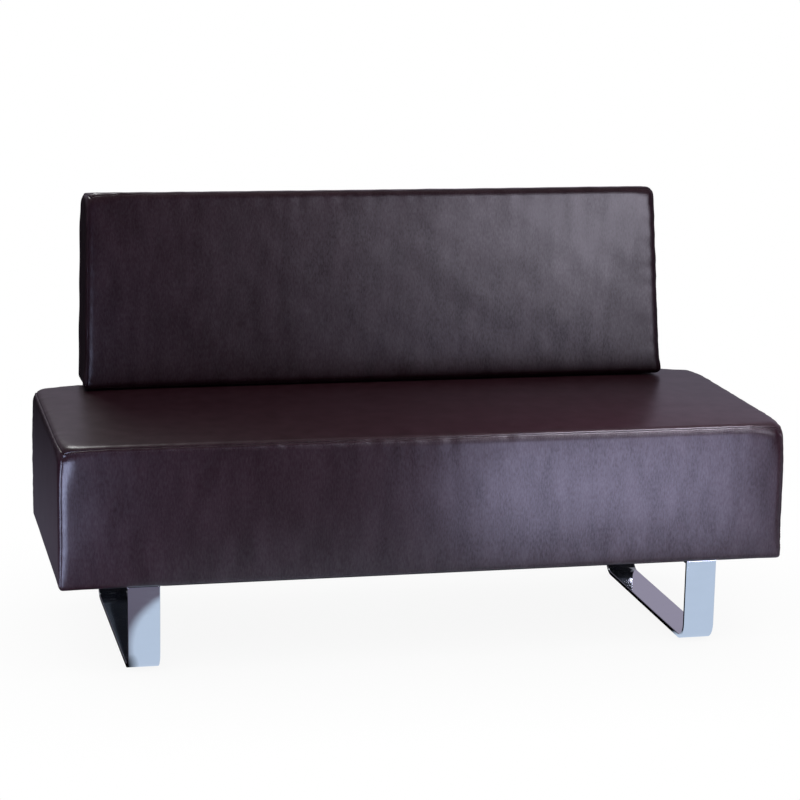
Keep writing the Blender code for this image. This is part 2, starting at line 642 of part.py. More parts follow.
def build_leg(side, sign, floor, seat, dust_cover, bolt, tee_nut):
    """Make one sled leg with its plate, glides, bolts and tee nuts, and the rail it bolts to."""
    middle = sign * LEG_X
    underside = GLIDE_THICKNESS + GAP
    top = SEAT_ABOVE_FLOOR + LEG_TOP
    corners = [(LEG_FRONT, top), (LEG_FRONT, underside), (LEG_REAR, underside), (LEG_REAR, top)]
    name = f"leg_{side}"
    outline = bar_outline(corners, LEG_BEND_RADIUS, LEG_THICKNESS)
    bar = add_piece(name, plate_mesh(name, outline, LEG_WIDTH), floor, CHROME, (middle, 0.0, 0.0), UPRIGHT)
    edge = bar.modifiers.new("edge", "BEVEL")
    edge.limit_method = "ANGLE"
    edge.angle_limit = LEG_EDGE_ANGLE
    edge.width = LEG_EDGE
    edge.segments = 1

    for row, place in {"front": LEG_FRONT + GLIDE_SETBACK, "rear": LEG_REAR - GLIDE_SETBACK}.items():
        name = f"glide_{row}_{side}"
        disc = rods_mesh(name, GLIDE_RADIUS, [(0.0, 0.0, 0.0)], GLIDE_THICKNESS, GLIDE_SIDES)
        add_piece(name, disc, floor, GLIDE_PLASTIC, (middle, place, 0.0))

    name = f"leg_plate_{side}"
    low = (middle - LEG_WIDTH / 2, LEG_FRONT + LEG_THICKNESS + GAP, LEG_PLATE_BOTTOM)
    high = (middle + LEG_WIDTH / 2, LEG_REAR - LEG_THICKNESS - GAP, LEG_TOP)
    plate = add_piece(name, box_mesh(name, low, high), seat, BLACK_STEEL)

    name = f"leg_rail_{side}"
    low = (middle - LEG_RAIL_WIDTH / 2, BAY_FRONT, RAIL_BOTTOM)
    high = (middle + LEG_RAIL_WIDTH / 2, BAY_REAR, LEG_RAIL_TOP)
    rail = add_piece(name, box_mesh(name, low, high), seat, TIMBER)

    places = []
    for x in (middle - LEG_BOLT_OFFSET, middle + LEG_BOLT_OFFSET):
        for y in (LEG_BOLT_FRONT, LEG_BOLT_REAR):
            places.append((x, y))
    for number, (x, y) in enumerate(places, 1):
        add_piece(f"leg_bolt_{side}_{number}", bolt, seat, ZINC, (x, y, LEG_PLATE_BOTTOM - GAP))
        add_piece(f"tee_nut_{side}_{number}", tee_nut, seat, ZINC, (x, y, LEG_RAIL_TOP + GAP))
    low_starts = [(x, y, LEG_PLATE_BOTTOM - CUT_MARGIN) for x, y in places]
    through = LEG_PLATE_THICKNESS + DUST_COVER_THICKNESS + 2 * CUT_MARGIN
    bolt_holes = add_cutter(
        f"bolt_holes_{side}",
        rods_mesh(f"bolt_holes_{side}", BOLT_RADIUS + HOLE_CLEARANCE, low_starts, through),
        seat,
    )
    cut(plate, bolt_holes)
    cut(dust_cover, bolt_holes)
    rail_starts = [(x, y, RAIL_BOTTOM - CUT_MARGIN) for x, y in places]
    nut_holes = add_cutter(
        f"tee_nut_holes_{side}",
        rods_mesh(
            f"tee_nut_holes_{side}",
            TEE_NUT_BARREL_RADIUS + HOLE_CLEARANCE,
            rail_starts,
            LEG_RAIL_HEIGHT + 2 * CUT_MARGIN,
        ),
        seat,
    )
    cut(rail, nut_holes)


def build_back(back):
    """Make the back's upholstery and frame, and return the pieces that the brackets pass through."""
    low = (-BACK_LENGTH / 2, 0.0, 0.0)
    high = (BACK_LENGTH / 2, BACK_DEPTH, BACK_HEIGHT)
    mesh, widest = back_form(
        "back_cover", low, high, BACK_FRONT_RADIUS, BACK_REAR_RADIUS, BACK_CORNER_RADIUS
    )
    cover = add_piece("back_cover", mesh, back, LEATHER)
    add_rounding(cover, widest)
    low = (-BACK_INNER_X, COVER_WALL, COVER_WALL)
    high = (BACK_INNER_X, BACK_INNER_REAR, BACK_INNER_TOP)
    inner_radius = BACK_FRONT_RADIUS - COVER_WALL
    mesh, widest = back_form("back_hollow", low, high, inner_radius, 0.0, BACK_EDGE_PADDING)
    hollow = add_cutter("back_hollow", mesh, back)
    add_rounding(hollow, widest)
    open_x = BACK_LENGTH / 2 - HEM_WIDTH
    low = (-open_x, BACK_INNER_REAR - CUT_MARGIN, HEM_WIDTH)
    high = (open_x, BACK_DEPTH + CUT_MARGIN, BACK_HEIGHT - HEM_WIDTH)
    opening = add_cutter("back_hem_opening", back_box_mesh("back_hem_opening", low, high), back)
    cut(cover, hollow, opening)

    low = (-BACK_INNER_X + GAP, COVER_WALL + GAP, COVER_WALL + GAP)
    high = (BACK_INNER_X - GAP, BACK_RAIL_REAR, BACK_INNER_TOP - GAP)
    mesh, widest = back_form(
        "back_foam", low, high, inner_radius - GAP, 0.0, BACK_EDGE_PADDING - GAP
    )
    foam = add_piece("back_foam", mesh, back, FOAM)
    add_rounding(foam, widest)
    low = (-BACK_FRAME_X - GAP, BOARD_FRONT - GAP, BACK_FRAME_LOW - GAP)
    high = (BACK_FRAME_X + GAP, BACK_DEPTH + CUT_MARGIN, BACK_FRAME_HIGH + GAP)
    pocket = add_cutter("back_frame_pocket", back_box_mesh("back_frame_pocket", low, high), back)
    cut(foam, pocket)

    low = (-BACK_FRAME_X, BOARD_FRONT, BACK_FRAME_LOW)
    high = (BACK_FRAME_X, BOARD_REAR, BACK_FRAME_HIGH)
    board = add_piece("back_board", back_box_mesh("back_board", low, high), back, PLYWOOD)

    rail_rows = {
        "back_top_rail": (BACK_FRAME_HIGH - BACK_RAIL_WIDTH, BACK_FRAME_HIGH),
        "back_bottom_rail": (BACK_FRAME_LOW, BACK_FRAME_LOW + BACK_RAIL_WIDTH),
    }
    rails = {}
    for name, (start, stop) in rail_rows.items():
        low = (-BACK_FRAME_X, BACK_RAIL_FRONT, start)
        high = (BACK_FRAME_X, BACK_RAIL_REAR, stop)
        rails[name] = add_piece(name, back_box_mesh(name, low, high), back, TIMBER)
    stile_low = BACK_FRAME_LOW + BACK_RAIL_WIDTH + GAP
    stile_high = BACK_FRAME_HIGH - BACK_RAIL_WIDTH - GAP
    for side, sign in SIDES.items():
        ends = sorted((sign * BACK_FRAME_X, sign * (BACK_FRAME_X - BACK_RAIL_WIDTH)))
        name = f"back_{side}_stile"
        low = (ends[0], BACK_RAIL_FRONT, stile_low)
        high = (ends[1], BACK_RAIL_REAR, stile_high)
        add_piece(name, back_box_mesh(name, low, high), back, TIMBER)

    panel_x = BACK_LENGTH / 2 - BACK_PANEL_INSET
    low = (-panel_x, PANEL_FRONT, BACK_PANEL_INSET)
    high = (panel_x, PANEL_REAR, PANEL_TOP)
    panel = add_piece("back_rear_panel", back_box_mesh("back_rear_panel", low, high), back, LEATHER)
    edge = panel.modifiers.new("edge", "BEVEL")
    edge.width = BACK_PANEL_EDGE
    edge.segments = 1
    return cover, foam, rails["back_bottom_rail"], board


def build_bracket(side, sign, seat, back, seat_cover, rear_rail, back_pieces, bolt, screw):
    """Make one bar that carries the back, with its bolts and screws and the holes that they need."""
    middle = sign * BRACKET_X
    tip_y = BRACKET_FACE + BRACKET_REACH * math.sin(BACK_LEAN)
    tip_z = BRACKET_BEND + BRACKET_REACH * math.cos(BACK_LEAN)
    corners = [(tip_y, tip_z), (BRACKET_FACE, BRACKET_BEND), (BRACKET_FACE, BRACKET_FOOT)]
    outline = bar_outline(corners, BRACKET_BEND_RADIUS, BRACKET_THICKNESS)
    name = f"back_bracket_{side}"
    bar = add_piece(
        name, plate_mesh(name, outline, BRACKET_WIDTH), seat, BLACK_STEEL, (middle, 0.0, 0.0), UPRIGHT
    )

    heights = (BRACKET_FOOT + BRACKET_BOLT_EDGE, RAIL_TOP - BRACKET_BOLT_EDGE)
    for number, height in enumerate(heights, 1):
        name = f"bracket_bolt_{side}_{number}"
        add_piece(name, bolt, seat, ZINC, (middle, BRACKET_BOLT_SEAT, height), (math.pi / 2, 0.0, 0.0))
    starts = [(middle, BRACKET_BOLT_SEAT + CUT_MARGIN, height) for height in heights]
    hole_length = BRACKET_BOLT_LENGTH + CUT_MARGIN + HOLE_CLEARANCE
    bolt_holes = add_cutter(
        f"bracket_bolt_holes_{side}",
        rods_mesh(
            f"bracket_bolt_holes_{side}", BOLT_RADIUS + HOLE_CLEARANCE, starts, hole_length, turn=FORWARD
        ),
        seat,
    )
    for piece in (bar, seat_cover, rear_rail):
        cut(piece, bolt_holes)

    half = BRACKET_WIDTH / 2 + HOLE_CLEARANCE
    low = (middle - half, BACK_RAIL_FRONT - GAP, -CUT_MARGIN)
    high = (middle + half, BRACKET_REAR + HOLE_CLEARANCE, BOTTOM_RAIL_TOP + CUT_MARGIN)
    slot = add_cutter(f"bracket_slot_{side}", box_mesh(f"bracket_slot_{side}", low, high), back)
    cover, foam, bottom_rail, board = back_pieces
    for piece in (cover, foam, bottom_rail):
        cut(piece, slot)

    heights = (BRACKET_SCREW_LOW, BRACKET_SCREW_HIGH)
    for number, height in enumerate(heights, 1):
        name = f"bracket_screw_{side}_{number}"
        add_piece(name, screw, back, ZINC, (middle, BRACKET_SCREW_SEAT, height), (-math.pi / 2, 0.0, 0.0))
    starts = [(middle, BRACKET_SCREW_SEAT + CUT_MARGIN, height) for height in heights]
    hole_length = BRACKET_SCREW_LENGTH + CUT_MARGIN + HOLE_CLEARANCE
    screw_holes = add_cutter(
        f"bracket_screw_holes_{side}",
        rods_mesh(
            f"bracket_screw_holes_{side}", SCREW_RADIUS + HOLE_CLEARANCE, starts, hole_length, turn=FORWARD
        ),
        back,
    )
    for piece in (bar, board):
        cut(piece, screw_holes)


def build_sofa():
    """Build every piece of the sofa."""
    floor = new_frame("sofa_floor", None, (0.0, -BOX_MIDDLE_Y, 0.0))
    seat = new_frame("seat_frame", floor, (0.0, 0.0, SEAT_ABOVE_FLOOR))
    lean = (-BACK_LEAN, 0.0, 0.0)
    back = new_frame("back_frame", seat, (0.0, BACK_ORIGIN_Y, BACK_ORIGIN_Z), lean)

    seat_cover, dust_cover = build_seat_upholstery(seat)
    rear_rail = build_seat_frame(seat)

    leg_bolt = hex_bolt_mesh("leg_bolt", LEG_BOLT_LENGTH)
    tee_nut = turned_mesh(
        "tee_nut",
        [
            (TEE_NUT_BORE, TEE_NUT_FLANGE_THICKNESS),
            (TEE_NUT_FLANGE_RADIUS, TEE_NUT_FLANGE_THICKNESS),
            (TEE_NUT_FLANGE_RADIUS, 0.0),
            (TEE_NUT_BARREL_RADIUS, 0.0),
            (TEE_NUT_BARREL_RADIUS, -TEE_NUT_BARREL_LENGTH),
            (TEE_NUT_BORE, -TEE_NUT_BARREL_LENGTH),
        ],
        closed=True,
    )
    for side, sign in SIDES.items():
        build_leg(side, sign, floor, seat, dust_cover, leg_bolt, tee_nut)

    back_pieces = build_back(back)
    bracket_bolt = hex_bolt_mesh("bracket_bolt", BRACKET_BOLT_LENGTH)
    bracket_screw = turned_mesh(
        "bracket_screw",
        [
            (0.0, SCREW_HEAD_HEIGHT),
            (SCREW_HEAD_RADIUS / 2, SCREW_HEAD_HEIGHT),
            (SCREW_HEAD_RADIUS, SCREW_HEAD_HEIGHT / 2),
            (SCREW_HEAD_RADIUS, 0.0),
            (SCREW_RADIUS, 0.0),
            (SCREW_RADIUS, -BRACKET_SCREW_LENGTH),
            (0.0, -BRACKET_SCREW_LENGTH),
        ],
    )
    for side, sign in SIDES.items():
        build_bracket(
            side, sign, seat, back, seat_cover, rear_rail, back_pieces, bracket_bolt, bracket_screw
        )


build_sofa()
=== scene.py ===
"""Looks of the waiting room sofa: faux leather covers, chromed sled legs, fixings, studio and camera.

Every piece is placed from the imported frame. Lengths are metres, +Z is up and the sofa's front faces -Y.
"""

import json
import logging
import math
from contextlib import contextmanager
from dataclasses import dataclass
from enum import Enum
from typing import Callable, Iterator, Optional, Sequence, Union

import bmesh
import bpy
import numpy as np
from mathutils import Matrix, Vector
from mathutils.bvhtree import BVHTree


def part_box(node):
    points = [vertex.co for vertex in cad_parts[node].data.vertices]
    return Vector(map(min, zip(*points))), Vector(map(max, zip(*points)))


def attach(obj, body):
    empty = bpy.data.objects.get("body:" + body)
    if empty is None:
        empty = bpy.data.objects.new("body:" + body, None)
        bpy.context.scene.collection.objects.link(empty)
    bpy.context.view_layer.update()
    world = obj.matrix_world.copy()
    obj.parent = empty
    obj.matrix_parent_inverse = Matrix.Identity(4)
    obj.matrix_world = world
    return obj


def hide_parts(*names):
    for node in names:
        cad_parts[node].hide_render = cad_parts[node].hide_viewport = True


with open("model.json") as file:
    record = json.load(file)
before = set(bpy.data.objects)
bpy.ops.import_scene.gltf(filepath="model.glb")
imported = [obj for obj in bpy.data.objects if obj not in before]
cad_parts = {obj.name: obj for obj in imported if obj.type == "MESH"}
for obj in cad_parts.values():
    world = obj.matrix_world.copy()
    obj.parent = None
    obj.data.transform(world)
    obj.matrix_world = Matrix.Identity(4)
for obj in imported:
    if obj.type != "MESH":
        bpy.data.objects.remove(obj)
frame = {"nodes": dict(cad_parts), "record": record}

Pair = tuple[float, float]
Triple = tuple[float, float, float]
Piece = bpy.types.Object
Socket = bpy.types.NodeSocket
Feed = Union[float, tuple, Socket]
Radii = Union[Triple, np.ndarray]
Reading = Union[float, np.ndarray]

LOG = logging.getLogger("sofa")
BODY = "root"
MM = 0.001
IMAGE_SIDE = 800
SENSOR_WIDTH = 36.0
SURFACE = 1e-5
# name of the point attribute that carries painted contact shade
CONTACT_SHADE = "contact_shade"
NOISE_SPAN = (0.3, 0.7)
BLACK = (0.0, 0.0, 0.0)
WHITE = (1.0, 1.0, 1.0)


class Slot(Enum):
    """Material slots of the record."""

    LEATHER = "faux_leather"
    CHROME = "chromed_bar"
    ZINC = "zinc_steel"
    BLACK_STEEL = "black_steel"
    PLYWOOD = "plywood"
    TIMBER = "timber"
    FOAM = "foam"
    DUST_CLOTH = "dust_cloth"
    GLIDE = "glide_plastic"


class Side(Enum):
    """The two ends of the sofa, as seen from the front."""

    LEFT = "left"
    RIGHT = "right"


class Graph:
    """Node tree of one material or of the world."""

    def __init__(self, name: str, world: bool = False) -> None:
        """Start a new material or a new world.

        Args:
            name: its name.
            world: True for a world.
        """
        self.owner = (bpy.data.worlds if world else bpy.data.materials).new(name)
        self.owner.use_nodes = True
        self.tree = self.owner.node_tree
        self.coords = self.add("ShaderNodeTexCoord").outputs
        self.place = self.coords["Object"]

    def add(
        self, kind: str, inputs: Optional[dict[str | int, Feed]] = None, **settings: object
    ) -> bpy.types.Node:
        """Add a node.

        Args:
            kind: Blender's name of the node type.
            inputs: values or output sockets, by the name or number of the input.
            settings: properties of the node itself.

        Returns:
            The new node.
        """
        node = self.tree.nodes.new(kind)
        for name, value in settings.items():
            setattr(node, name, value)
        for name, value in (inputs or {}).items():
            self.feed(node, name, value)
        return node

    def feed(self, node: bpy.types.Node, name: str | int, value: Feed) -> None:
        """Set an input to a value, or link it to an output socket.

        Args:
            node: the node that is fed.
            name: name or number of its input.
            value: a plain value or an output socket.
        """
        if isinstance(value, Socket):
            self.tree.links.new(value, node.inputs[name])
        else:
            node.inputs[name].default_value = value

    def stretched(self, scale: Triple) -> Socket:
        """Return the object coordinates times a scale."""
        return self.add("ShaderNodeMapping", {"Vector": self.place, "Scale": scale}).outputs["Vector"]

    def noise(self, scale: float, detail: float = 3.0, vector: Optional[Socket] = None) -> Socket:
        """Return soft noise with a number of lumps per metre.

        Args:
            scale: lumps per metre.
            detail: how many finer layers are added.
            vector: coordinates, or None for the plain object coordinates.

        Returns:
            The noise, from 0 to 1.
        """
        inputs = {"Vector": vector or self.place, "Scale": scale, "Detail": detail}
        return self.add("ShaderNodeTexNoise", inputs).outputs["Fac"]

    def cells(self, scale: float, smoothness: float = 0.35) -> Socket:
        """Return the distance to the middles of rounded cells, with a number of cells per metre."""
        inputs = {"Vector": self.place, "Scale": scale, "Smoothness": smoothness}
        return self.add("ShaderNodeTexVoronoi", inputs, feature="SMOOTH_F1").outputs["Distance"]

    def span(self, factor: Socket, source: Pair, target: Pair = (0.0, 1.0)) -> Socket:
        """Map a factor from one span of values to another, without going past its ends.

        Args:
            factor: the value to map.
            source: lowest and highest value read.
            target: values given for those two.

        Returns:
            The mapped value.
        """
        ends = dict(zip(("From Min", "From Max", "To Min", "To Max"), (*source, *target)))
        return self.add("ShaderNodeMapRange", {"Value": factor, **ends}).outputs["Result"]

    def blend(self, factor: Socket, first: Union[Triple, Socket], second: Union[Triple, Socket]) -> Socket:
        """Return a colour between two, by a factor."""
        first, second = (end if isinstance(end, Socket) else (*end, 1.0) for end in (first, second))
        return self.add("ShaderNodeMix", {0: factor, 6: first, 7: second}, data_type="RGBA").outputs[2]

    def sum(self, first: Feed, second: Feed, share: float = 1.0) -> Socket:
        """Return the first value plus a share of the second."""
        inputs = {0: second, 1: share, 2: first}
        return self.add("ShaderNodeMath", inputs, operation="MULTIPLY_ADD").outputs["Value"]

    def times(self, first: Feed, second: Feed) -> Socket:
        """Return the product of two values."""
        return self.add("ShaderNodeMath", {0: first, 1: second}, operation="MULTIPLY").outputs["Value"]

    def bump(self, height: Socket, depth: float, strength: float = 1.0) -> Socket:
        """Return a normal bent by a height.

        Args:
            height: the height, about 0 to 1.
            depth: what a height of 1 is in metres.
            strength: how much of the bend is kept.

        Returns:
            The bent normal.
        """
        node = self.add("ShaderNodeBump", {"Height": height, "Distance": depth, "Strength": strength})
        return node.outputs["Normal"]

    def close(self, inputs: dict[str, Feed]) -> bpy.types.Material:
        """Feed the Principled shader and return the material."""
        for name, value in inputs.items():
            self.feed(self.tree.nodes["Principled BSDF"], name, value)
        return self.owner


@dataclass(frozen=True)
class FauxLeather:
    """Coated fabric with a fine pebble grain, faint upright creases and a soft gloss, darkened by painted
    shade where a piece marks it.
    """

    deep: Triple = (0.0112, 0.0034, 0.0050)
    pale: Triple = (0.0165, 0.0058, 0.0082)
    gloss: Pair = (0.29, 0.34)
    reflectance: Pair = (0.38, 0.62)
    patches: Pair = (-0.07, 0.07)
    cloud_span: Pair = (0.32, 0.68)
    clouds_per_metre: float = 34.0
    # how far the painted contact shade darkens the colour towards black
    shade_darkening: float = 0.5
    grain_per_metre: float = 620.0
    grain_height: float = 0.03 * MM
    pore_ratio: float = 1.7
    pore_share: float = 0.35
    crease_per_metre: float = 380.0
    crease_height: float = 0.05 * MM
    crease_stretch: Triple = (1.0, 1.0, 0.32)

    def material(self) -> bpy.types.Material:
        """Make the finish.

        Returns:
            The finish as a material.
        """
        graph = Graph("faux_leather")
        upright = graph.stretched(self.crease_stretch)
        cloud = graph.noise(self.clouds_per_metre, 5.0, upright)
        crease = graph.noise(self.crease_per_metre, 3.0, upright)
        grain = graph.cells(self.grain_per_metre)
        pores = graph.noise(self.grain_per_metre * self.pore_ratio, 2.0)
        patches = graph.span(cloud, NOISE_SPAN, self.patches)
        shine = graph.sum(graph.span(crease, NOISE_SPAN, self.reflectance), patches)
        # the attribute read here carries painted shade: where it is set, the colour darkens and the
        # reflection dims
        contact_shade = graph.add("ShaderNodeAttribute", attribute_name=CONTACT_SHADE).outputs["Fac"]
        reflection_kept = graph.span(contact_shade, (0.0, 1.0), (1.0, 0.0))
        shade_darkening = graph.span(contact_shade, (0.0, 1.0), (0.0, self.shade_darkening))
        colour = graph.blend(graph.span(cloud, self.cloud_span), self.deep, self.pale)
        pebbles = graph.sum(grain, pores, self.pore_share)
        return graph.close({
            "Base Color": graph.blend(shade_darkening, colour, BLACK),
            "Roughness": graph.span(crease, NOISE_SPAN, self.gloss),
            "Specular IOR Level": graph.times(shine, reflection_kept),
            "Normal": graph.bump(
                graph.sum(pebbles, crease, self.crease_height / self.grain_height), self.grain_height
            ),
        })


@dataclass(frozen=True)
class PolishedChrome:
    """Bright plating with faint waves and wiping marks."""

    colour: Triple = (0.80, 0.83, 0.87)
    wiped: float = 0.95
    gloss: Pair = (0.035, 0.10)
    wipes_per_metre: float = 60.0
    wipe_stretch: Triple = (0.35, 1.0, 1.0)
    wipe_span: Pair = (0.42, 0.75)
    waves_per_metre: float = 9.0
    wave_height: float = 0.5 * MM
    wave_share: float = 0.35

    def material(self) -> bpy.types.Material:
        """Make the finish.

        Returns:
            The finish as a material.
        """
        graph = Graph("chromed_bar")
        wipes = graph.noise(self.wipes_per_metre, 6.0, graph.stretched(self.wipe_stretch))
        waves = graph.noise(self.waves_per_metre, 1.0)
        return graph.close({
            "Base Color": graph.blend(wipes, tuple(self.wiped * level for level in self.colour), self.colour),
            "Metallic": 1.0,
            "Roughness": graph.span(wipes, self.wipe_span, self.gloss),
            "Normal": graph.bump(waves, self.wave_height, self.wave_share),
        })


@dataclass(frozen=True)
class MottledFinish:
    """Finish of two shades in soft patches, with a fine grain.

    The patches and the grain are each given by their lumps per metre and their layers of detail.
    """

    name: str
    dark: Triple
    pale: Triple
    patches: Pair
    gloss: Pair
    grain: Pair
    grain_height: float
    grain_share: float = 1.0
    pale_span: Pair = (0.0, 1.0)
    dimples: float = 0.0
    fibre_share: float = 0.6
    metallic: float = 0.0

    def material(self) -> bpy.types.Material:
        """Make the finish.

        Returns:
            The finish as a material.
        """
        graph = Graph(self.name)
        patches = graph.noise(*self.patches)
        grain = graph.noise(*self.grain)
        if self.dimples:
            grain = graph.sum(graph.cells(self.dimples), grain, self.fibre_share)
        return graph.close({
            "Base Color": graph.blend(graph.span(patches, self.pale_span), self.dark, self.pale),
            "Metallic": self.metallic,
            "Roughness": graph.span(patches, NOISE_SPAN, self.gloss),
            "Normal": graph.bump(grain, self.grain_height, self.grain_share),
        })


@dataclass(frozen=True)
class Wood:
    """Sawn wood or plywood, with its grain along the sofa and thin layers or rings across it."""

    name: str
    early: Triple
    late: Triple
    rings: Triple
    gloss: Pair = (0.55, 0.75)
    fibres_per_metre: float = 420.0
    fibre_stretch: Triple = (0.06, 1.0, 1.0)
    fibre_height: float = 0.15 * MM
    ring_span: Pair = (0.4, 0.6)
    half: Pair = (0.0, 0.5)

    def material(self) -> bpy.types.Material:
        """Make the finish.

        Returns:
            The finish as a material.
        """
        graph = Graph(self.name)
        fibre = graph.noise(self.fibres_per_metre, 5.0, graph.stretched(self.fibre_stretch))
        layers = graph.noise(1.0, 2.0, graph.stretched(self.rings))
        streaks = graph.span(fibre, NOISE_SPAN, self.half)
        tone = graph.sum(streaks, graph.span(layers, self.ring_span, self.half))
        return graph.close({
            "Base Color": graph.blend(tone, self.early, self.late),
            "Roughness": graph.span(fibre, NOISE_SPAN, self.gloss),
            "Normal": graph.bump(fibre, self.fibre_height),
        })


PLYWOOD = Wood("plywood", (0.52, 0.37, 0.22), (0.34, 0.21, 0.11), (3.0, 3.0, 330.0))
TIMBER = Wood("timber", (0.56, 0.42, 0.25), (0.40, 0.27, 0.14), (2.0, 90.0, 90.0))
ZINC_STEEL = MottledFinish(
    "zinc_steel", (0.38, 0.37, 0.34), (0.56, 0.56, 0.54), patches=(520.0, 4.0), gloss=(0.28, 0.46),
    grain=(1500.0, 3.0), grain_height=0.05 * MM, grain_share=0.6, metallic=1.0,
)
POWDER_COAT = MottledFinish(
    "black_steel", (0.012, 0.012, 0.013), (0.026, 0.026, 0.027), patches=(45.0, 6.0), gloss=(0.36, 0.5),
    grain=(900.0, 1.0), grain_height=0.08 * MM, grain_share=0.6, pale_span=(0.5, 0.75),
)
MOULDED_PLASTIC = MottledFinish(
    "glide_plastic", (0.017, 0.017, 0.019), (0.034, 0.034, 0.036), patches=(160.0, 5.0), gloss=(0.45, 0.62),
    grain=(2200.0, 1.0), grain_height=0.05 * MM, pale_span=(0.5, 0.7),
)
SPUN_CLOTH = MottledFinish(
    "dust_cloth", (0.010, 0.010, 0.011), (0.020, 0.020, 0.022), patches=(700.0, 6.0), gloss=(0.8, 0.95),
    grain=(700.0, 6.0), grain_height=0.25 * MM, dimples=480.0,
)
SEWING_THREAD = MottledFinish(
    "sewing_thread", (0.018, 0.009, 0.011), (0.040, 0.023, 0.027), patches=(2600.0, 2.0), gloss=(0.42, 0.6),
    grain=(2600.0, 2.0), grain_height=0.1 * MM,
)


class FinishRack:
    """All finishes, made once, and the dressing of pieces with them."""

    def __init__(self) -> None:
        """Make one material for each slot but the foam, and the thread."""
        finishes = {
            Slot.LEATHER: FauxLeather(),
            Slot.CHROME: PolishedChrome(),
            Slot.ZINC: ZINC_STEEL,
            Slot.BLACK_STEEL: POWDER_COAT,
            Slot.PLYWOOD: PLYWOOD,
            Slot.TIMBER: TIMBER,
            Slot.DUST_CLOTH: SPUN_CLOTH,
            Slot.GLIDE: MOULDED_PLASTIC,
        }
        self.by_slot = {slot: finish.material() for slot, finish in finishes.items()}
        self.thread = SEWING_THREAD.material()

    def dress(self, piece: Piece, slot: Slot, *nodes: str, thread: bool = False) -> Piece:
        """Give a new piece its finish and its place in the frame.

        Args:
            piece: the finished piece.
            slot: slot of the record that it takes its finish from.
            nodes: CAD nodes that it stands for.
            thread: True for a piece of sewing thread.

        Returns:
            The same piece.
        """
        piece.data.materials.clear()
        piece.data.materials.append(self.thread if thread else self.by_slot[slot])
        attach(piece, BODY)
        if nodes:
            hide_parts(*nodes)
        LOG.info("%s: %d faces, %s", piece.name, len(piece.data.polygons), slot.value)
        return piece

    def dress_frame(self) -> None:
        """Give every CAD node the finish of its slot in the record, where that slot has one; the foam has
        none.
        """
        slots = {row["node"]: row["material_slot"] for row in frame["record"]["subparts"]}
        for name, node in frame["nodes"].items():
            slot = Slot(slots[name])
            if slot in self.by_slot:
                node.data.materials.clear()
                node.data.materials.append(self.by_slot[slot])


def select_only(piece: Piece) -> None:
    """Make one piece the only selected and the active one."""
    bpy.ops.object.select_all(action="DESELECT")
    piece.select_set(True)
    bpy.context.view_layer.objects.active = piece


@contextmanager
def edit_mode(piece: Piece, element: str) -> Iterator[None]:
    """Open a piece in edit mode.

    Args:
        piece: the piece to edit.
        element: VERT, EDGE or FACE, for what is selected there.

    Returns:
        Nothing; object mode comes back at the end.
    """
    select_only(piece)
    bpy.ops.object.mode_set(mode="EDIT")
    bpy.ops.mesh.select_mode(type=element)
    yield
    bpy.ops.object.mode_set(mode="OBJECT")


def pick_edges(piece: Piece, wanted: Callable[[Vector, Vector], bool]) -> None:
    """Select edges in edit mode.

    Args:
        piece: the piece in edit mode.
        wanted: test of an edge by its two ends.
    """
    bpy.ops.mesh.select_all(action="DESELECT")
    mesh = bmesh.from_edit_mesh(piece.data)
    for edge in mesh.edges:
        if wanted(edge.verts[0].co, edge.verts[1].co):
            edge.select_set(True)
    bmesh.update_edit_mesh(piece.data)


def pick_faces(piece: Piece, wanted: Callable[[Vector, Vector], bool]) -> None:
    """Select faces in edit mode.

    Args:
        piece: the piece in edit mode.
        wanted: test of a face by its middle and its normal.
    """
    bpy.ops.mesh.select_all(action="DESELECT")
    mesh = bmesh.from_edit_mesh(piece.data)
    for face in mesh.faces:
        if wanted(face.calc_center_median(), face.normal):
            face.select_set(True)
    bmesh.update_edit_mesh(piece.data)


def read_points(piece: Piece) -> np.ndarray:
    """Return the piece's points, one row each."""
    points = np.empty(len(piece.data.vertices) * 3)
    piece.data.vertices.foreach_get("co", points)
    return points.reshape(-1, 3)


def write_points(piece: Piece, points: np.ndarray) -> None:
    """Move the piece's points to new places."""
    piece.data.vertices.foreach_set("co", points.ravel())
    piece.data.update()


def read_normals(piece: Piece) -> np.ndarray:
    """Return the normals at the piece's points, one row each."""
    normals = np.empty(len(piece.data.vertices) * 3)
    piece.data.vertices.foreach_get("normal", normals)
    return normals.reshape(-1, 3)


def name_piece(name: str) -> Piece:
    """Name the active object and its mesh, and move its place into its mesh.

    Args:
        name: the new name.

    Returns:
        The piece.
    """
    piece = bpy.context.active_object
    piece.name = name
    piece.data.name = name
    bpy.ops.object.transform_apply(location=True, rotation=True, scale=True)
    return piece


def add_block(name: str, low: Sequence[float], high: Sequence[float]) -> Piece:
    """Add a cube between two corners.

    Args:
        name: name of the new piece.
        low: lowest corner.
        high: highest corner.

    Returns:
        The new piece.
    """
    bpy.ops.object.select_all(action="DESELECT")
    low, high = Vector(low), Vector(high)
    bpy.ops.mesh.primitive_cube_add(size=1.0, location=(low + high) / 2, scale=high - low)
    return name_piece(name)


def ease_edges(piece: Piece, width: float, segments: int = 3) -> None:
    """Round the sharp edges of a hard piece and smooth its shading.

    Args:
        piece: the piece.
        width: width of the rounding.
        segments: faces across the rounding.
    """
    select_only(piece)
    bpy.ops.object.shade_smooth()
    bevel = piece.modifiers.new("eased", "BEVEL")
    bevel.width = width
    bevel.segments = segments
    bevel.limit_method = "ANGLE"
    bevel.angle_limit = math.radians(35.0)
    bevel.harden_normals = True
    bpy.ops.object.modifier_apply(modifier=bevel.name)


def extrude(move: Sequence[float]) -> None:
    """Extrude what is selected by a move."""
    bpy.ops.mesh.extrude_region_move(TRANSFORM_OT_translate={"value": tuple(move)})


def close_mesh() -> None:
    """Merge doubles and turn all normals outwards, in edit mode."""
    bpy.ops.mesh.select_all(action="SELECT")
    bpy.ops.mesh.remove_doubles(threshold=SURFACE)
    bpy.ops.mesh.normals_make_consistent(inside=False)


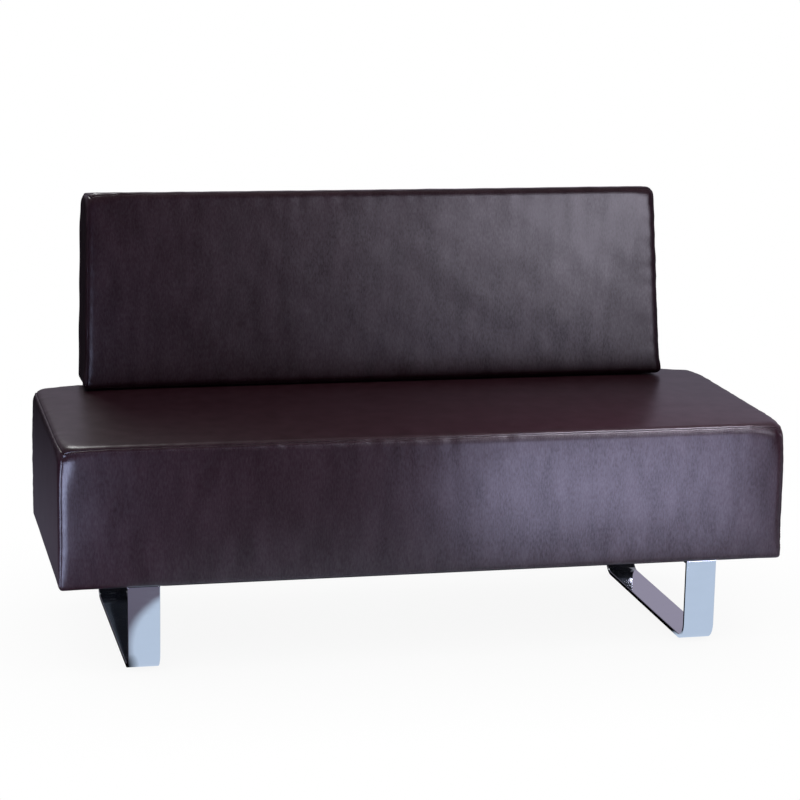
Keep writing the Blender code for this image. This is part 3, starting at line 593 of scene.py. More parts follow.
def copy_piece(source: Piece, name: str, place: Matrix) -> Piece:
    """Copy a piece with its own mesh.

    Args:
        source: the piece that was modelled.
        name: name of the copy.
        place: where the copy's mesh goes.

    Returns:
        The copy.
    """
    copy = source.copy()
    copy.data = source.data.copy()
    copy.name = name
    copy.data.name = name
    copy.data.transform(place)
    bpy.context.collection.objects.link(copy)
    return copy


def scatter(name: str, source: Piece, places: Sequence[Matrix]) -> Piece:
    """Join many copies of a small piece into one piece, and delete the small one.

    Args:
        name: name of the joined piece.
        source: the small piece, modelled at the origin.
        places: where each copy goes.

    Returns:
        The joined piece.
    """
    corners = np.c_[read_points(source), np.ones(len(source.data.vertices))]
    faces = [tuple(face.vertices) for face in source.data.polygons]
    points = np.concatenate([(corners @ np.array(place).T)[:, :3] for place in places])
    step = len(corners)
    rings = [
        tuple(corner + step * number for corner in face) for number in range(len(places)) for face in faces
    ]
    mesh = bpy.data.meshes.new(name)
    mesh.from_pydata(points.tolist(), [], rings)
    piece = bpy.data.objects.new(name, mesh)
    bpy.context.collection.objects.link(piece)
    bpy.data.objects.remove(source)
    select_only(piece)
    bpy.ops.object.shade_smooth()
    return piece


def graded_places(low: float, high: float, fine: float, coarse: float, growth: float = 1.28) -> np.ndarray:
    """Return places along a line that crowd at its two ends.

    Args:
        low: one end.
        high: other end.
        fine: spacing at the ends.
        coarse: largest spacing.
        growth: how much each step is longer than the one before.

    Returns:
        An odd number of places, the same from both ends.
    """
    half = (high - low) / 2
    steps = [0.0]
    step = fine
    while sum(steps) < half:
        steps.append(step)
        step = min(step * growth, coarse)
    run = np.cumsum(steps)
    run *= half / run[-1]
    return np.concatenate([low + run, (high - run[::-1])[1:]])


@dataclass(frozen=True)
class Ripple:
    """Sum of waves of mixed lengths, the same on every run."""

    shortest: float
    longest: float
    seed: int
    waves: int = 7

    def along(self, run: np.ndarray) -> np.ndarray:
        """Return heights of about -1 to 1 at places along a line."""
        return self.over(np.c_[run, np.zeros(len(run)), np.zeros(len(run))], straight=True)

    def over(self, points: np.ndarray, straight: bool = False) -> np.ndarray:
        """Return heights of about -1 to 1 over points.

        Args:
            points: the points, one row each.
            straight: True if all waves run along X.

        Returns:
            One height for each point.
        """
        source = np.random.default_rng(self.seed)
        lengths = source.uniform(self.shortest, self.longest, self.waves)
        turns = source.uniform(0.0, 2 * np.pi, self.waves)
        headings = source.normal(size=(self.waves, 3))
        if straight:
            headings = np.tile((1.0, 0.0, 0.0), (self.waves, 1))
        headings /= np.linalg.norm(headings, axis=1, keepdims=True)
        waves = np.sin(2 * np.pi * (points @ headings.T) / lengths + turns)
        return waves.sum(axis=1) / math.sqrt(self.waves)


@dataclass(frozen=True)
class ClothPress:
    """Cloth simulation that swells a sewn cover over its filling, with its seams held."""

    pressure: float = 4.0
    stiffness: float = 12.0
    quality: int = 4
    last_frame: int = 20
    even_rounds: int = 40

    def swell(self, piece: Piece, held: np.ndarray, cap: np.ndarray) -> None:
        """Swell a cover in place.

        Args:
            piece: the closed cover.
            held: True for each point that stays.
            cap: the furthest that each point may move.
        """
        start = read_points(piece)
        group = piece.vertex_groups.new(name="held")
        group.add(np.flatnonzero(held).tolist(), 1.0, "REPLACE")
        select_only(piece)
        cloth = piece.modifiers.new("swell", "CLOTH")
        cloth.settings.quality = self.quality
        cloth.settings.tension_stiffness = self.stiffness
        cloth.settings.compression_stiffness = self.stiffness
        cloth.settings.vertex_group_mass = group.name
        cloth.settings.use_pressure = True
        cloth.settings.uniform_pressure_force = self.pressure
        cloth.settings.effector_weights.gravity = 0.0
        cloth.collision_settings.use_collision = False
        for number in range(1, self.last_frame + 1):
            bpy.context.scene.frame_set(number)
        bpy.ops.object.modifier_apply(modifier=cloth.name)
        bpy.context.scene.frame_set(1)
        piece.vertex_groups.clear()
        moved = read_points(piece) - start
        reach = np.linalg.norm(moved, axis=1)
        LOG.info("%s: swelled by up to %.1f mm before the cap", piece.name, 1000 * reach.max())
        keep = (1.0 + (reach / cap) ** 4) ** -0.25
        write_points(piece, start + self.evened(piece, moved * keep[:, None], held))

    def evened(self, piece: Piece, moved: np.ndarray, held: np.ndarray) -> np.ndarray:
        """Return movements that are averaged with those of the neighbouring points.

        Args:
            piece: the cover.
            moved: the movement of each point, one row each.
            held: True for each point that stays.

        Returns:
            The evened movements, one row each.
        """
        ends = np.empty(2 * len(piece.data.edges), int)
        piece.data.edges.foreach_get("vertices", ends)
        here = np.concatenate([ends[0::2], ends[1::2]])
        there = np.concatenate([ends[1::2], ends[0::2]])
        neighbours = np.bincount(here, minlength=len(moved))[:, None]
        for _ in range(self.even_rounds):
            sums = np.stack([np.bincount(here, moved[there, axis], len(moved)) for axis in range(3)], axis=1)
            moved = np.where(held[:, None], moved, (moved + sums / neighbours) / 2)
        return moved


class CoverGrid:
    """A closed cover of fine quads that remembers where each point lay on the plain box."""

    def __init__(
        self, name: str, low: Sequence[float], high: Sequence[float], fine: float, coarse: float
    ) -> None:
        """Divide a cube between two corners.

        Args:
            name: name of the piece.
            low: lowest corner of the plain box.
            high: highest corner of the plain box.
            fine: spacing of the points at the edges.
            coarse: spacing of the points in the middle.
        """
        self.low = np.array(low, float)
        self.high = np.array(high, float)
        places = [graded_places(a, b, fine, coarse) for a, b in zip(self.low, self.high)]
        bpy.ops.object.select_all(action="DESELECT")
        bpy.ops.mesh.primitive_cube_add(size=2.0)
        self.piece = name_piece(name)
        with edit_mode(self.piece, "EDGE"):
            for axis, spots in enumerate(places):
                for cuts in (1, len(spots) // 2 - 1):
                    pick_edges(self.piece, lambda a, b: abs(a[axis] - b[axis]) > SURFACE)
                    bpy.ops.mesh.subdivide(number_cuts=cuts)
        self.flat = read_points(self.piece)
        for axis, spots in enumerate(places):
            step = np.rint((self.flat[:, axis] + 1) / 2 * (len(spots) - 1)).astype(int)
            self.flat[:, axis] = spots[step]
        self.to_low = self.flat - self.low
        self.to_high = self.high - self.flat
        self.to_end = np.minimum(self.to_low, self.to_high)

    def rolled(self, low_radii: Radii, high_radii: Radii, points: Optional[np.ndarray] = None) -> np.ndarray:
        """Return the points with the box's edges rolled over.

        Args:
            low_radii: radius of the roll towards the lowest face of each axis.
            high_radii: radius of the roll towards the highest face of each axis.
            points: points on the plain box, or None for the cover's own.

        Returns:
            The rolled points, one row each.
        """
        points = self.flat if points is None else points
        core = np.clip(points, self.low + np.array(low_radii), self.high - np.array(high_radii))
        radii = np.where(points < core, low_radii, high_radii)
        share = (points - core) / radii
        return core + share / np.linalg.norm(share, axis=1, keepdims=True) * radii

    def softened(self, low_radii: Radii, high_radii: Radii, radii: Triple, reach: float) -> np.ndarray:
        """Return the rolled points with rounder corners.

        Args:
            low_radii: radius of the roll towards the lowest face of each axis.
            high_radii: radius of the roll towards the highest face of each axis.
            radii: radius of the rolls right at a lower, an upper left and an upper right corner.
            reach: distance from a corner over which that radius fades.

        Returns:
            The rolled points, one row each.
        """
        plain = self.rolled(low_radii, high_radii)
        upper = np.where(self.flat[:, 0] < 0.0, *radii[1:])
        radius = np.where(self.to_low[:, 2] < self.to_high[:, 2], radii[0], upper)
        round_all = np.repeat(radius[:, None], 3, axis=1)
        share = np.exp(-((np.linalg.norm(self.to_end, axis=1) / reach) ** 2))
        return plain + (self.rolled(round_all, round_all) - plain) * share[:, None]

    def lift(self, height: np.ndarray) -> None:
        """Move every point along its normal by its own height."""
        write_points(self.piece, read_points(self.piece) + read_normals(self.piece) * height[:, None])

    def rise(self, axis: int, run: float) -> np.ndarray:
        """Return a factor that grows from 0 at both ends of an axis to 1 a run further in."""
        return 1.0 - (1.0 - np.clip(self.to_end[:, axis] / run, 0.0, 1.0)) ** 2

    def round_rim(self, axis: int, shift: float) -> np.ndarray:
        """Return places round the rim: X along its long sides, the other axis plus a shift at its ends."""
        long_side = self.to_end[:, axis] <= self.to_end[:, 0]
        return np.where(long_side, self.flat[:, 0], self.flat[:, axis] + shift)


def groove(distance: np.ndarray, width: float, depth: float) -> np.ndarray:
    """Return the height of a sewn-in seam at distances from it."""
    return -depth * np.exp(-((distance / width) ** 2))


@dataclass
class StitchRow:
    """A row of thread stitches laid on a cover."""

    name: str
    pitch: float = 5.4 * MM
    length: float = 4.0 * MM
    width: float = 1.0 * MM
    height: float = 0.7 * MM
    ahead: float = 1.0 * MM

    def build(self, cover: Piece, rows: Sequence[np.ndarray]) -> Piece:
        """Lay stitches along rows of points near a cover.

        Args:
            cover: the finished cover.
            rows: for each row, points that follow it closely.

        Returns:
            All stitches as one piece.
        """
        surface = BVHTree.FromObject(cover, bpy.context.evaluated_depsgraph_get())
        places = []
        for row in rows:
            run = np.concatenate([[0.0], np.cumsum(np.linalg.norm(np.diff(row, axis=0), axis=1))])
            for spot in np.arange(self.pitch, run[-1] - self.pitch / 2, self.pitch):
                here, there = (
                    Vector([np.interp(at, run, row[:, axis]) for axis in range(3)])
                    for at in (spot, spot + self.ahead)
                )
                middle, normal = surface.find_nearest(here)[:2]
                along = (there - here).normalized()
                across = normal.cross(along).normalized()
                turn = Matrix((across.cross(normal), across, normal)).transposed().to_4x4()
                places.append(Matrix.Translation(middle) @ turn)
        bpy.ops.object.select_all(action="DESELECT")
        size = (self.length / 2, self.width / 2, self.height / 2)
        bpy.ops.mesh.primitive_uv_sphere_add(segments=6, ring_count=4, radius=1.0, scale=size)
        return scatter(self.name, name_piece("one_stitch"), places)


@dataclass
class SeatCushion:
    """The seat: a tight boxed cover with a rolled, felled and topstitched top edge."""

    node: str = "seat_cover"
    filling: tuple[str, ...] = ("seat_foam", "seat_front_padding", "seat_left_padding", "seat_right_padding")
    side_crown: float = 3.0 * MM
    top_crown: float = 8.0 * MM
    top_roll: float = 13.0 * MM
    side_roll: float = 15.0 * MM
    rear_roll: float = 6.0 * MM
    hem_roll: float = 9.0 * MM
    corner_rolls: Triple = (8.0 * MM, 30.0 * MM, 30.0 * MM)
    corner_reach: float = 48.0 * MM
    swell_share: float = 0.45
    fine: float = 1.5 * MM
    coarse: float = 8.5 * MM
    seam_width: float = 1.6 * MM
    seam_depth: float = 1.9 * MM
    fell_depth: float = 9.3 * MM
    fell_height: float = 0.7 * MM
    fell_edge: float = 1.5 * MM
    stitch_groove: Pair = (1.4 * MM, 1.0 * MM)
    stitch_inset: float = 15.0 * MM
    corner_stitch_gap: float = 5.0 * MM
    pull: Ripple = Ripple(16 * MM, 60 * MM, 5)
    pucker: float = 0.6 * MM
    pucker_reach: float = 16.0 * MM
    pucker_above: float = 0.6
    tug: Ripple = Ripple(18 * MM, 70 * MM, 11)
    tug_height: float = 0.4 * MM
    tug_reach: float = 14.0 * MM
    pleat_drop: float = 13.0 * MM
    pleat_gap: float = 5.0 * MM
    pleat_groove: Pair = (3.2 * MM, 3.0 * MM)
    waves: Ripple = Ripple(60 * MM, 170 * MM, 3, 12)
    wave_height: float = 0.16 * MM
    wave_run: float = 30.0 * MM
    crown_run: float = 0.30

    def build(self) -> tuple[Piece, Piece]:
        """Make the cover and its stitches.

        Returns:
            The cover and the stitches.
        """
        low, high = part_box(self.node)
        low += Vector((self.side_crown, self.side_crown, 0.0))
        high -= Vector((self.side_crown, 0.0, self.top_crown))
        self.grid = CoverGrid("seat_cushion", low, high, self.fine, self.coarse)
        self.low_radii = (self.side_roll, self.side_roll, self.hem_roll)
        self.high_radii = (self.side_roll, self.rear_roll, self.top_roll)
        self.fill()
        self.sew()
        select_only(self.grid.piece)
        bpy.ops.object.shade_smooth()
        return self.grid.piece, self.stitch()

    def crown(self) -> np.ndarray:
        """Find how far the filling pushes each point of the plain box out.

        Returns:
            The push at each point, one row each.
        """
        grid = self.grid
        span = grid.high - grid.low
        top = self.top_crown * grid.rise(0, self.crown_run) * grid.rise(1, span[1] / 2)
        front = self.side_crown * grid.rise(0, self.crown_run) * grid.rise(2, span[2] / 2)
        end = self.side_crown * grid.rise(1, span[1] / 2) * grid.rise(2, span[2] / 2)
        push = np.zeros_like(grid.flat)
        push[:, 2] += np.where(grid.to_high[:, 2] < SURFACE, top, 0.0)
        push[:, 1] -= np.where(grid.to_low[:, 1] < SURFACE, front, 0.0)
        push[:, 0] += np.where(grid.to_end[:, 0] < SURFACE, end * np.sign(grid.flat[:, 0]), 0.0)
        return push

    def fill(self) -> None:
        """Shape the cover over its filling."""
        grid = self.grid
        push = self.crown()
        box = grid.softened(self.low_radii, self.high_radii, self.corner_rolls, self.corner_reach)
        write_points(grid.piece, box + push * (1.0 - self.swell_share))
        seams = np.sort(grid.to_end, axis=1)[:, 1] < SURFACE
        held = seams | (grid.to_low[:, 2] < 0.012)
        ClothPress().swell(grid.piece, held, np.linalg.norm(push, axis=1) * self.swell_share + 0.4 * MM)

    def sew(self) -> None:
        """Press the seams, the felled edge and their puckers into the cover."""
        grid = self.grid
        side_gap = grid.to_end[:, :2].min(axis=1)
        top_gap = grid.to_high[:, 2]
        below = top_gap - side_gap
        on_side = side_gap < SURFACE
        corner = grid.to_end[:, 0] - grid.to_end[:, 1]
        pull = self.pull.along(grid.round_rim(1, 3.0)) * np.exp(-np.abs(below) / self.pucker_reach)
        height = groove(below, self.seam_width, self.seam_depth)
        fell = np.clip(below / self.fell_edge, 0.0, 1.0)
        fell *= np.clip((self.fell_depth + self.fell_edge - below) / self.fell_edge, 0.0, 1.0)
        height += np.where(on_side, fell * self.fell_height, 0.0)
        height += np.where(on_side, groove(below - self.fell_depth, *self.stitch_groove), 0.0)
        height += self.pucker * pull * np.where(below > 0, 1.0, self.pucker_above)
        upright = np.where((top_gap > self.fell_depth) & (grid.to_low[:, 2] > SURFACE), 1.0, 0.0)
        height += upright * groove(corner, self.seam_width, self.seam_depth)
        tug = self.tug.along(grid.flat[:, 2] + 7.0 * np.sign(grid.flat[:, 0]))
        height += upright * self.tug_height * tug * np.exp(-np.abs(corner) / self.tug_reach)
        pleat = np.hypot(top_gap - self.pleat_drop, 0.5 * (np.maximum(corner, 0.0) - self.pleat_gap))
        height += np.where(on_side & (corner > -2 * MM), groove(pleat, *self.pleat_groove), 0.0)
        inward = np.clip((side_gap + top_gap) / self.wave_run, 0.0, 1.0)
        height += self.wave_height * self.waves.over(grid.flat) * inward
        grid.lift(height)

    def stitch(self) -> Piece:
        """Lay the topstitching below the top edge and down the corners.

        Returns:
            The stitches.
        """
        grid = self.grid
        level = grid.high[2] - self.fell_depth
        ends = self.stitch_inset
        down = np.linspace(grid.low[2] + ends, grid.high[2] - 2 * ends, 60)
        rows = []
        for y in (grid.low[1], grid.high[1]):
            x = np.linspace(grid.low[0] + ends, grid.high[0] - ends, 400)
            rows.append(np.c_[x, np.full_like(x, y), np.full_like(x, level)])
        for x in (grid.low[0], grid.high[0]):
            y = np.linspace(grid.low[1] + ends, grid.high[1] - ends, 160)
            rows.append(np.c_[np.full_like(y, x), y, np.full_like(y, level)])
            for y in (grid.low[1] + self.corner_stitch_gap, grid.high[1] - self.corner_stitch_gap):
                rows.append(np.c_[np.full_like(down, x), np.full_like(down, y), down])
        rows = [grid.rolled(self.low_radii, self.high_radii, row) for row in rows]
        return StitchRow("seat_topstitch").build(grid.piece, rows)

    def dress(self, rack: FinishRack) -> None:
        """Build the seat's soft pieces and finish them.

        Args:
            rack: the finishes.
        """
        cover, stitches = self.build()
        rack.dress(cover, Slot.LEATHER, self.node, *self.filling)
        rack.dress(stitches, Slot.LEATHER, thread=True)


@dataclass
class BackCushion:
    """The back: a boxed cushion that narrows to its top, leans back and is closed by a panel behind."""

    node: str = "back_cover"
    board_node: str = "back_board"
    length: float = 1.202
    height: float = 0.391
    depth: float = 0.140
    taper: float = 11.5 * MM
    lean: float = math.radians(7.75)
    underside_fall: float = math.radians(2.0)
    board_front: float = 67.1 * MM
    board_inset: float = 13.1 * MM
    front_roll: float = 15.0 * MM
    rear_roll: float = 5.0 * MM
    side_roll: float = 15.0 * MM
    side_roll_behind: float = 6.0 * MM
    top_roll: float = 13.0 * MM
    bottom_roll: float = 14.0 * MM
    # reach of the painted shade along the lower edge, where the back meets the seat
    contact_shade_reach: float = 32.0 * MM
    corner_rolls: Triple = (11.0 * MM, 24.0 * MM, 20.0 * MM)
    corner_reach: float = 40.0 * MM
    front_crown: float = 3.0 * MM
    draw_in: float = 3.0 * MM
    swell_share: float = 0.45
    fine: float = 1.4 * MM
    coarse: float = 8.0 * MM
    seam_width: float = 1.5 * MM
    seam_depth: float = 1.2 * MM
    rear_seam_depth: float = 0.6 * MM
    corner_seam_depth: float = 0.8 * MM
    pull: Ripple = Ripple(14 * MM, 55 * MM, 21)
    pucker: float = 0.5 * MM
    pucker_reach: float = 15.0 * MM
    bunching: Ripple = Ripple(9 * MM, 16 * MM, 8)
    bunch_height: float = 0.6 * MM
    bunch_reach: float = 26.0 * MM
    waves: Ripple = Ripple(60 * MM, 180 * MM, 33, 12)
    wave_height: float = 0.18 * MM
    wave_run: float = 30.0 * MM
    boxing_waves: Ripple = Ripple(40 * MM, 120 * MM, 44, 9)
    boxing_wave_height: float = 0.35 * MM
    ear: float = 2.5 * MM
    ear_reach: float = 16.0 * MM
    panel_inset: float = 12.0 * MM
    panel_thickness: float = 5.0 * MM
    panel_roll: Triple = (3.0 * MM, 2.0 * MM, 3.0 * MM)
    panel_pull: Ripple = Ripple(20 * MM, 60 * MM, 17)
    panel_waves: Ripple = Ripple(70 * MM, 200 * MM, 19, 10)
    panel_wave_height: float = 0.5 * MM
    panel_pull_reach: float = 14.0 * MM

    def placement(self) -> Matrix:
        """Return the turn and place of the cushion, from the board inside it.

        Returns:
            Matrix from the upright cushion, with the middle of its lower front edge at the origin.
        """
        turn = Matrix.Rotation(-self.lean, 4, "X")
        board = read_points(frame["nodes"][self.board_node]) @ np.array(turn.to_3x3())
        front = board[:, 1].min() - self.board_front
        low = board[:, 2].min() - self.settled(self.board_front, self.board_inset)
        return turn @ Matrix.Translation((0.0, front, low))

    def settled(self, depth: Reading, height: Reading) -> Reading:
        """Return the height up the back of points once the underside lies along the seat.

        Args:
            depth: how far behind the front the points are.
            height: how far up the plain box they are.

        Returns:
            Their new height.
        """
        return height + depth * math.tan(self.lean - self.underside_fall) * (1.0 - height / self.height)

    def build(self) -> Piece:
        """Make the cover, standing in its place.

        Returns:
            The cover.
        """
        half = self.length / 2
        high = (half, self.depth, self.height)
        self.grid = CoverGrid("back_cushion", (-half, 0.0, 0.0), high, self.fine, self.coarse)
        self.fill()
        self.sew()
        self.paint_contact_shade()
        return self.stand(self.grid)

    def paint_contact_shade(self) -> None:
        """Paint shade where the lower edge meets the seat, weaker to the left: it darkens the colour and dims
        the reflection.
        """
        grid = self.grid
        gap = grid.to_low[:, 1] + grid.to_low[:, 2]
        contact_shade = np.interp(grid.flat[:, 0], (-0.6, 0.2), (0.35, 1.0)) * np.exp(-((gap / self.contact_shade_reach) ** 2))
        layer = grid.piece.data.attributes.new(CONTACT_SHADE, "FLOAT", "POINT")
        layer.data.foreach_set("value", contact_shade)

    def stand(self, grid: CoverGrid) -> Piece:
        """Narrow a cover to its top, lean it back and smooth it.

        Args:
            grid: the upright cover.

        Returns:
            The piece in its place.
        """
        points = read_points(grid.piece)
        points[:, 2] = self.settled(points[:, 1], points[:, 2])
        points[:, 0] *= 1.0 - self.taper / (self.length / 2) * points[:, 2] / self.height
        write_points(grid.piece, points)
        grid.piece.data.transform(self.placement())
        select_only(grid.piece)
        bpy.ops.object.shade_smooth()
        return grid.piece

    def fill(self) -> None:
        """Shape the cover over its filling."""
        grid = self.grid
        side = np.interp(grid.flat[:, 1], (20 * MM, 80 * MM), (self.side_roll, self.side_roll_behind))
        low_radii = np.c_[side, np.full_like(side, self.front_roll), np.full_like(side, self.bottom_roll)]
        high_radii = np.c_[side, np.full_like(side, self.rear_roll), np.full_like(side, self.top_roll)]
        box = grid.softened(low_radii, high_radii, self.corner_rolls, self.corner_reach)
        crown = self.front_crown * grid.rise(0, 0.25) * grid.rise(2, self.height / 2)
        push = np.zeros_like(grid.flat)
        push[:, 1] -= np.where(grid.to_low[:, 1] < SURFACE, crown, 0.0)
        toward = 1.0 - (grid.flat[:, 1] / self.depth) ** 2
        dip = self.draw_in * grid.rise(0, 0.5) * (0.4 + 0.6 * toward)
        push[:, 2] -= np.where(grid.to_high[:, 2] < SURFACE, dip, 0.0)
        waist = self.draw_in * 0.5 * grid.rise(2, self.height / 2) * np.sign(grid.flat[:, 0])
        push[:, 0] -= np.where(grid.to_end[:, 0] < SURFACE, waist, 0.0)
        write_points(grid.piece, box + push * (1.0 - self.swell_share))
        held = (grid.to_low[:, 1] > SURFACE) | (np.sort(grid.to_end, axis=1)[:, 1] < SURFACE)
        ClothPress().swell(grid.piece, held, np.linalg.norm(push, axis=1) * self.swell_share + 0.4 * MM)

    def sew(self) -> None:
        """Press the seams and their puckers into the cover."""
        grid = self.grid
        edge_gap = np.minimum(grid.to_end[:, 0], grid.to_end[:, 2])
        behind = grid.to_low[:, 1] - edge_gap
        corner = grid.to_end[:, 0] - grid.to_end[:, 2]
        before_rear = np.where(grid.to_high[:, 1] > SURFACE, 1.0, 0.0)
        behind_front = np.where(grid.to_low[:, 1] > SURFACE, 1.0, 0.0)
        boxing = behind_front * before_rear
        height = before_rear * groove(behind, self.seam_width, self.seam_depth)
        height += behind_front * groove(grid.to_high[:, 1] - edge_gap, self.seam_width, self.rear_seam_depth)
        pull = self.pull.along(grid.round_rim(2, 4.0))
        height += self.pucker * pull * np.exp(-np.abs(behind) / self.pucker_reach)
        corner_gap = np.maximum(grid.to_end[:, 0], grid.to_end[:, 2]) + grid.to_low[:, 1]
        bunch = self.bunching.along(corner + 0.4 * np.sign(grid.flat[:, 0]))
        height += self.bunch_height * bunch * np.exp(-corner_gap / self.bunch_reach)
        height += boxing * groove(corner, self.seam_width, self.corner_seam_depth)
        inward = np.clip(edge_gap / self.wave_run, 0.0, 1.0)
        height += self.wave_height * self.waves.over(grid.flat) * inward
        height += boxing * self.boxing_wave_height * self.boxing_waves.over(grid.flat)
        ear_gap = np.hypot(grid.to_low[:, 2] - self.bottom_roll, grid.to_low[:, 1] - self.front_roll)
        ear = self.ear * np.exp(-((ear_gap / self.ear_reach) ** 2))
        height += np.where(grid.to_end[:, 0] < SURFACE, ear, 0.0)
        grid.lift(height)

    def build_panel(self) -> Piece:
        """Make the covered panel behind the cushion.

        Returns:
            The panel.
        """
        half = self.length / 2 - self.panel_inset
        low = (-half, self.depth, self.panel_inset)
        high = (half, self.depth + self.panel_thickness, self.height - self.panel_inset)
        grid = CoverGrid("back_rear_cover", low, high, 1.2 * MM, 12.0 * MM)
        write_points(grid.piece, grid.rolled(self.panel_roll, self.panel_roll))
        edge_gap = np.minimum(grid.to_end[:, 0], grid.to_end[:, 2])
        outer = np.where(grid.to_high[:, 1] < SURFACE, self.panel_wave_height, 0.0)
        pull = self.panel_pull.along(grid.round_rim(2, 4.0))
        height = outer * pull * np.exp(-edge_gap / self.panel_pull_reach)
        height += outer * self.panel_waves.over(grid.flat)
        grid.lift(height)
        return self.stand(grid)

    def dress(self, rack: FinishRack) -> None:
        """Build the back's soft pieces and finish them."""
        rack.dress(self.build(), Slot.LEATHER, self.node, "back_foam")
        rack.dress(self.build_panel(), Slot.LEATHER, "back_rear_panel")


@dataclass
class SledLeg:
    """Flat bar bent to a U with round bends and eased edges."""

    side: Side
    thickness: float = 8.0 * MM
    bend_radius: float = 36.0 * MM
    bend_steps: int = 28
    edge: float = 1.0 * MM

    def build(self) -> Piece:
        """Draw the front upright and carry it round to the rear one.

        Returns:
            The leg.
        """
        low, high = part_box(f"leg_{self.side.value}")
        turn = low.z + self.bend_radius
        corner = (high.x, low.y + self.thickness, high.z)
        leg = add_block(f"sled_{self.side.value}", (low.x, low.y, turn), corner)
        quarter = -math.pi / 2
        with edit_mode(leg, "FACE"):
            pick_faces(leg, lambda middle, normal: normal.z < -0.9)
            self.bend(Vector((0.0, low.y + self.bend_radius, turn)), quarter)
            extrude((0.0, high.y - low.y - 2 * self.bend_radius, 0.0))
            self.bend(Vector((0.0, high.y - self.bend_radius, turn)), quarter)
            extrude((0.0, 0.0, high.z - turn))
            close_mesh()
        ease_edges(leg, self.edge)
        return leg

    def bend(self, centre: Vector, angle: float) -> None:
        """Carry the selected end face round a bend."""
        bpy.ops.mesh.spin(steps=self.bend_steps, angle=angle, center=centre, axis=(1.0, 0.0, 0.0))

    def dress(self, rack: FinishRack) -> None:
        """Build the leg and finish it."""
        rack.dress(self.build(), Slot.CHROME, f"leg_{self.side.value}")


@dataclass
class BackBracket:
    """Bent flat bar that carries the back from the rear of the seat."""

    side: Side
    lean: float = math.radians(7.75)
    thickness: float = 6.0 * MM
    bend_radius: float = 30.0 * MM

    def build(self) -> Piece:
        """Draw the lower run and carry it round the bend into the back.

        Returns:
            The bracket.
        """
        node = f"back_bracket_{self.side.value}"
        low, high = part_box(node)
        up = Vector((0.0, math.sin(self.lean), math.cos(self.lean)))
        leaning = (high.y - self.thickness * up.z - low.y) / up.y
        turn = high.z - leaning * up.z - self.bend_radius * math.tan(self.lean / 2)
        bar = add_block(f"bent_{node}", low, (high.x, low.y + self.thickness, turn))
        centre = Vector((0.0, low.y + self.bend_radius, turn))
        reach = (high.z - centre.z - self.bend_radius * up.y) / up.z
        with edit_mode(bar, "FACE"):
            pick_faces(bar, lambda middle, normal: normal.z > 0.9)
            bpy.ops.mesh.spin(steps=8, angle=self.lean, center=centre, axis=(1.0, 0.0, 0.0))
            extrude(up * reach)
            close_mesh()
        ease_edges(bar, 0.8 * MM)
        return bar

    def dress(self, rack: FinishRack) -> None:
        """Build the bracket and finish it."""
        rack.dress(self.build(), Slot.BLACK_STEEL, f"back_bracket_{self.side.value}")


@dataclass
class HexBolts:
    """Hex bolts of the legs and the brackets: one is modelled and the rest are copies."""

    flats: float = 13.0 * MM
    head: float = 5.3 * MM
    shank: float = 8.0 * MM
    shank_length: float = 20.0 * MM
    chamfer: float = 1.1 * MM

    def build(self) -> Piece:
        """Model one bolt, its head below the origin and its shank above.

        Returns:
            The bolt.
        """
        bpy.ops.object.select_all(action="DESELECT")
        radius = self.flats / 2 / math.cos(math.pi / 6)
        middle = (0.0, 0.0, -self.head / 2)
        bpy.ops.mesh.primitive_cylinder_add(vertices=24, radius=radius, depth=self.head, location=middle)
        bolt = name_piece("one_bolt")
        points = read_points(bolt)
        sector = np.mod(np.arctan2(points[:, 1], points[:, 0]), math.pi / 3) - math.pi / 6
        hexagon = self.flats / 2 / np.cos(sector) / np.maximum(np.hypot(points[:, 0], points[:, 1]), SURFACE)
        points[:, :2] *= hexagon[:, None]
        write_points(bolt, points)
        with edit_mode(bolt, "FACE"):
            pick_faces(bolt, lambda middle, normal: normal.z < -0.9)
            bpy.ops.mesh.inset(thickness=self.chamfer, depth=0.0)
            bpy.ops.mesh.inset(thickness=0.4 * MM, depth=-0.2 * MM)
            pick_faces(bolt, lambda middle, normal: normal.z > 0.9)
            bpy.ops.mesh.inset(thickness=radius - self.shank / 2, depth=0.0)
            extrude((0.0, 0.0, self.shank_length))
        points = read_points(bolt)
        ring = np.hypot(points[:, 0], points[:, 1])
        corner = np.clip((ring - 0.92 * self.flats / 2) / (radius - 0.92 * self.flats / 2), 0.0, 1.0)
        points[:, 2] += np.where(points[:, 2] < -self.head + SURFACE, corner * 0.5 * self.chamfer, 0.0)
        write_points(bolt, points)
        ease_edges(bolt, 0.25 * MM, 2)
        return bolt

    def dress(self, rack: FinishRack) -> None:
        """Build the bolts and finish them.

        Args:
            rack: the finishes.
        """
        pattern = self.build()
        to_rear = Matrix.Rotation(math.pi / 2, 4, "X")
        for side in Side:
            for group, count in (("leg", 4), ("bracket", 2)):
                for number in range(1, count + 1):
                    node = f"{group}_bolt_{side.value}_{number}"
                    low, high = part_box(node)
                    middle = (low + high) / 2
                    if group == "leg":
                        place = Matrix.Translation((middle.x, middle.y, low.z + self.head))
                    else:
                        place = Matrix.Translation((middle.x, high.y - self.head, middle.z)) @ to_rear
                    rack.dress(copy_piece(pattern, f"hex_{node}", place), Slot.ZINC, node)
        bpy.data.objects.remove(pattern)


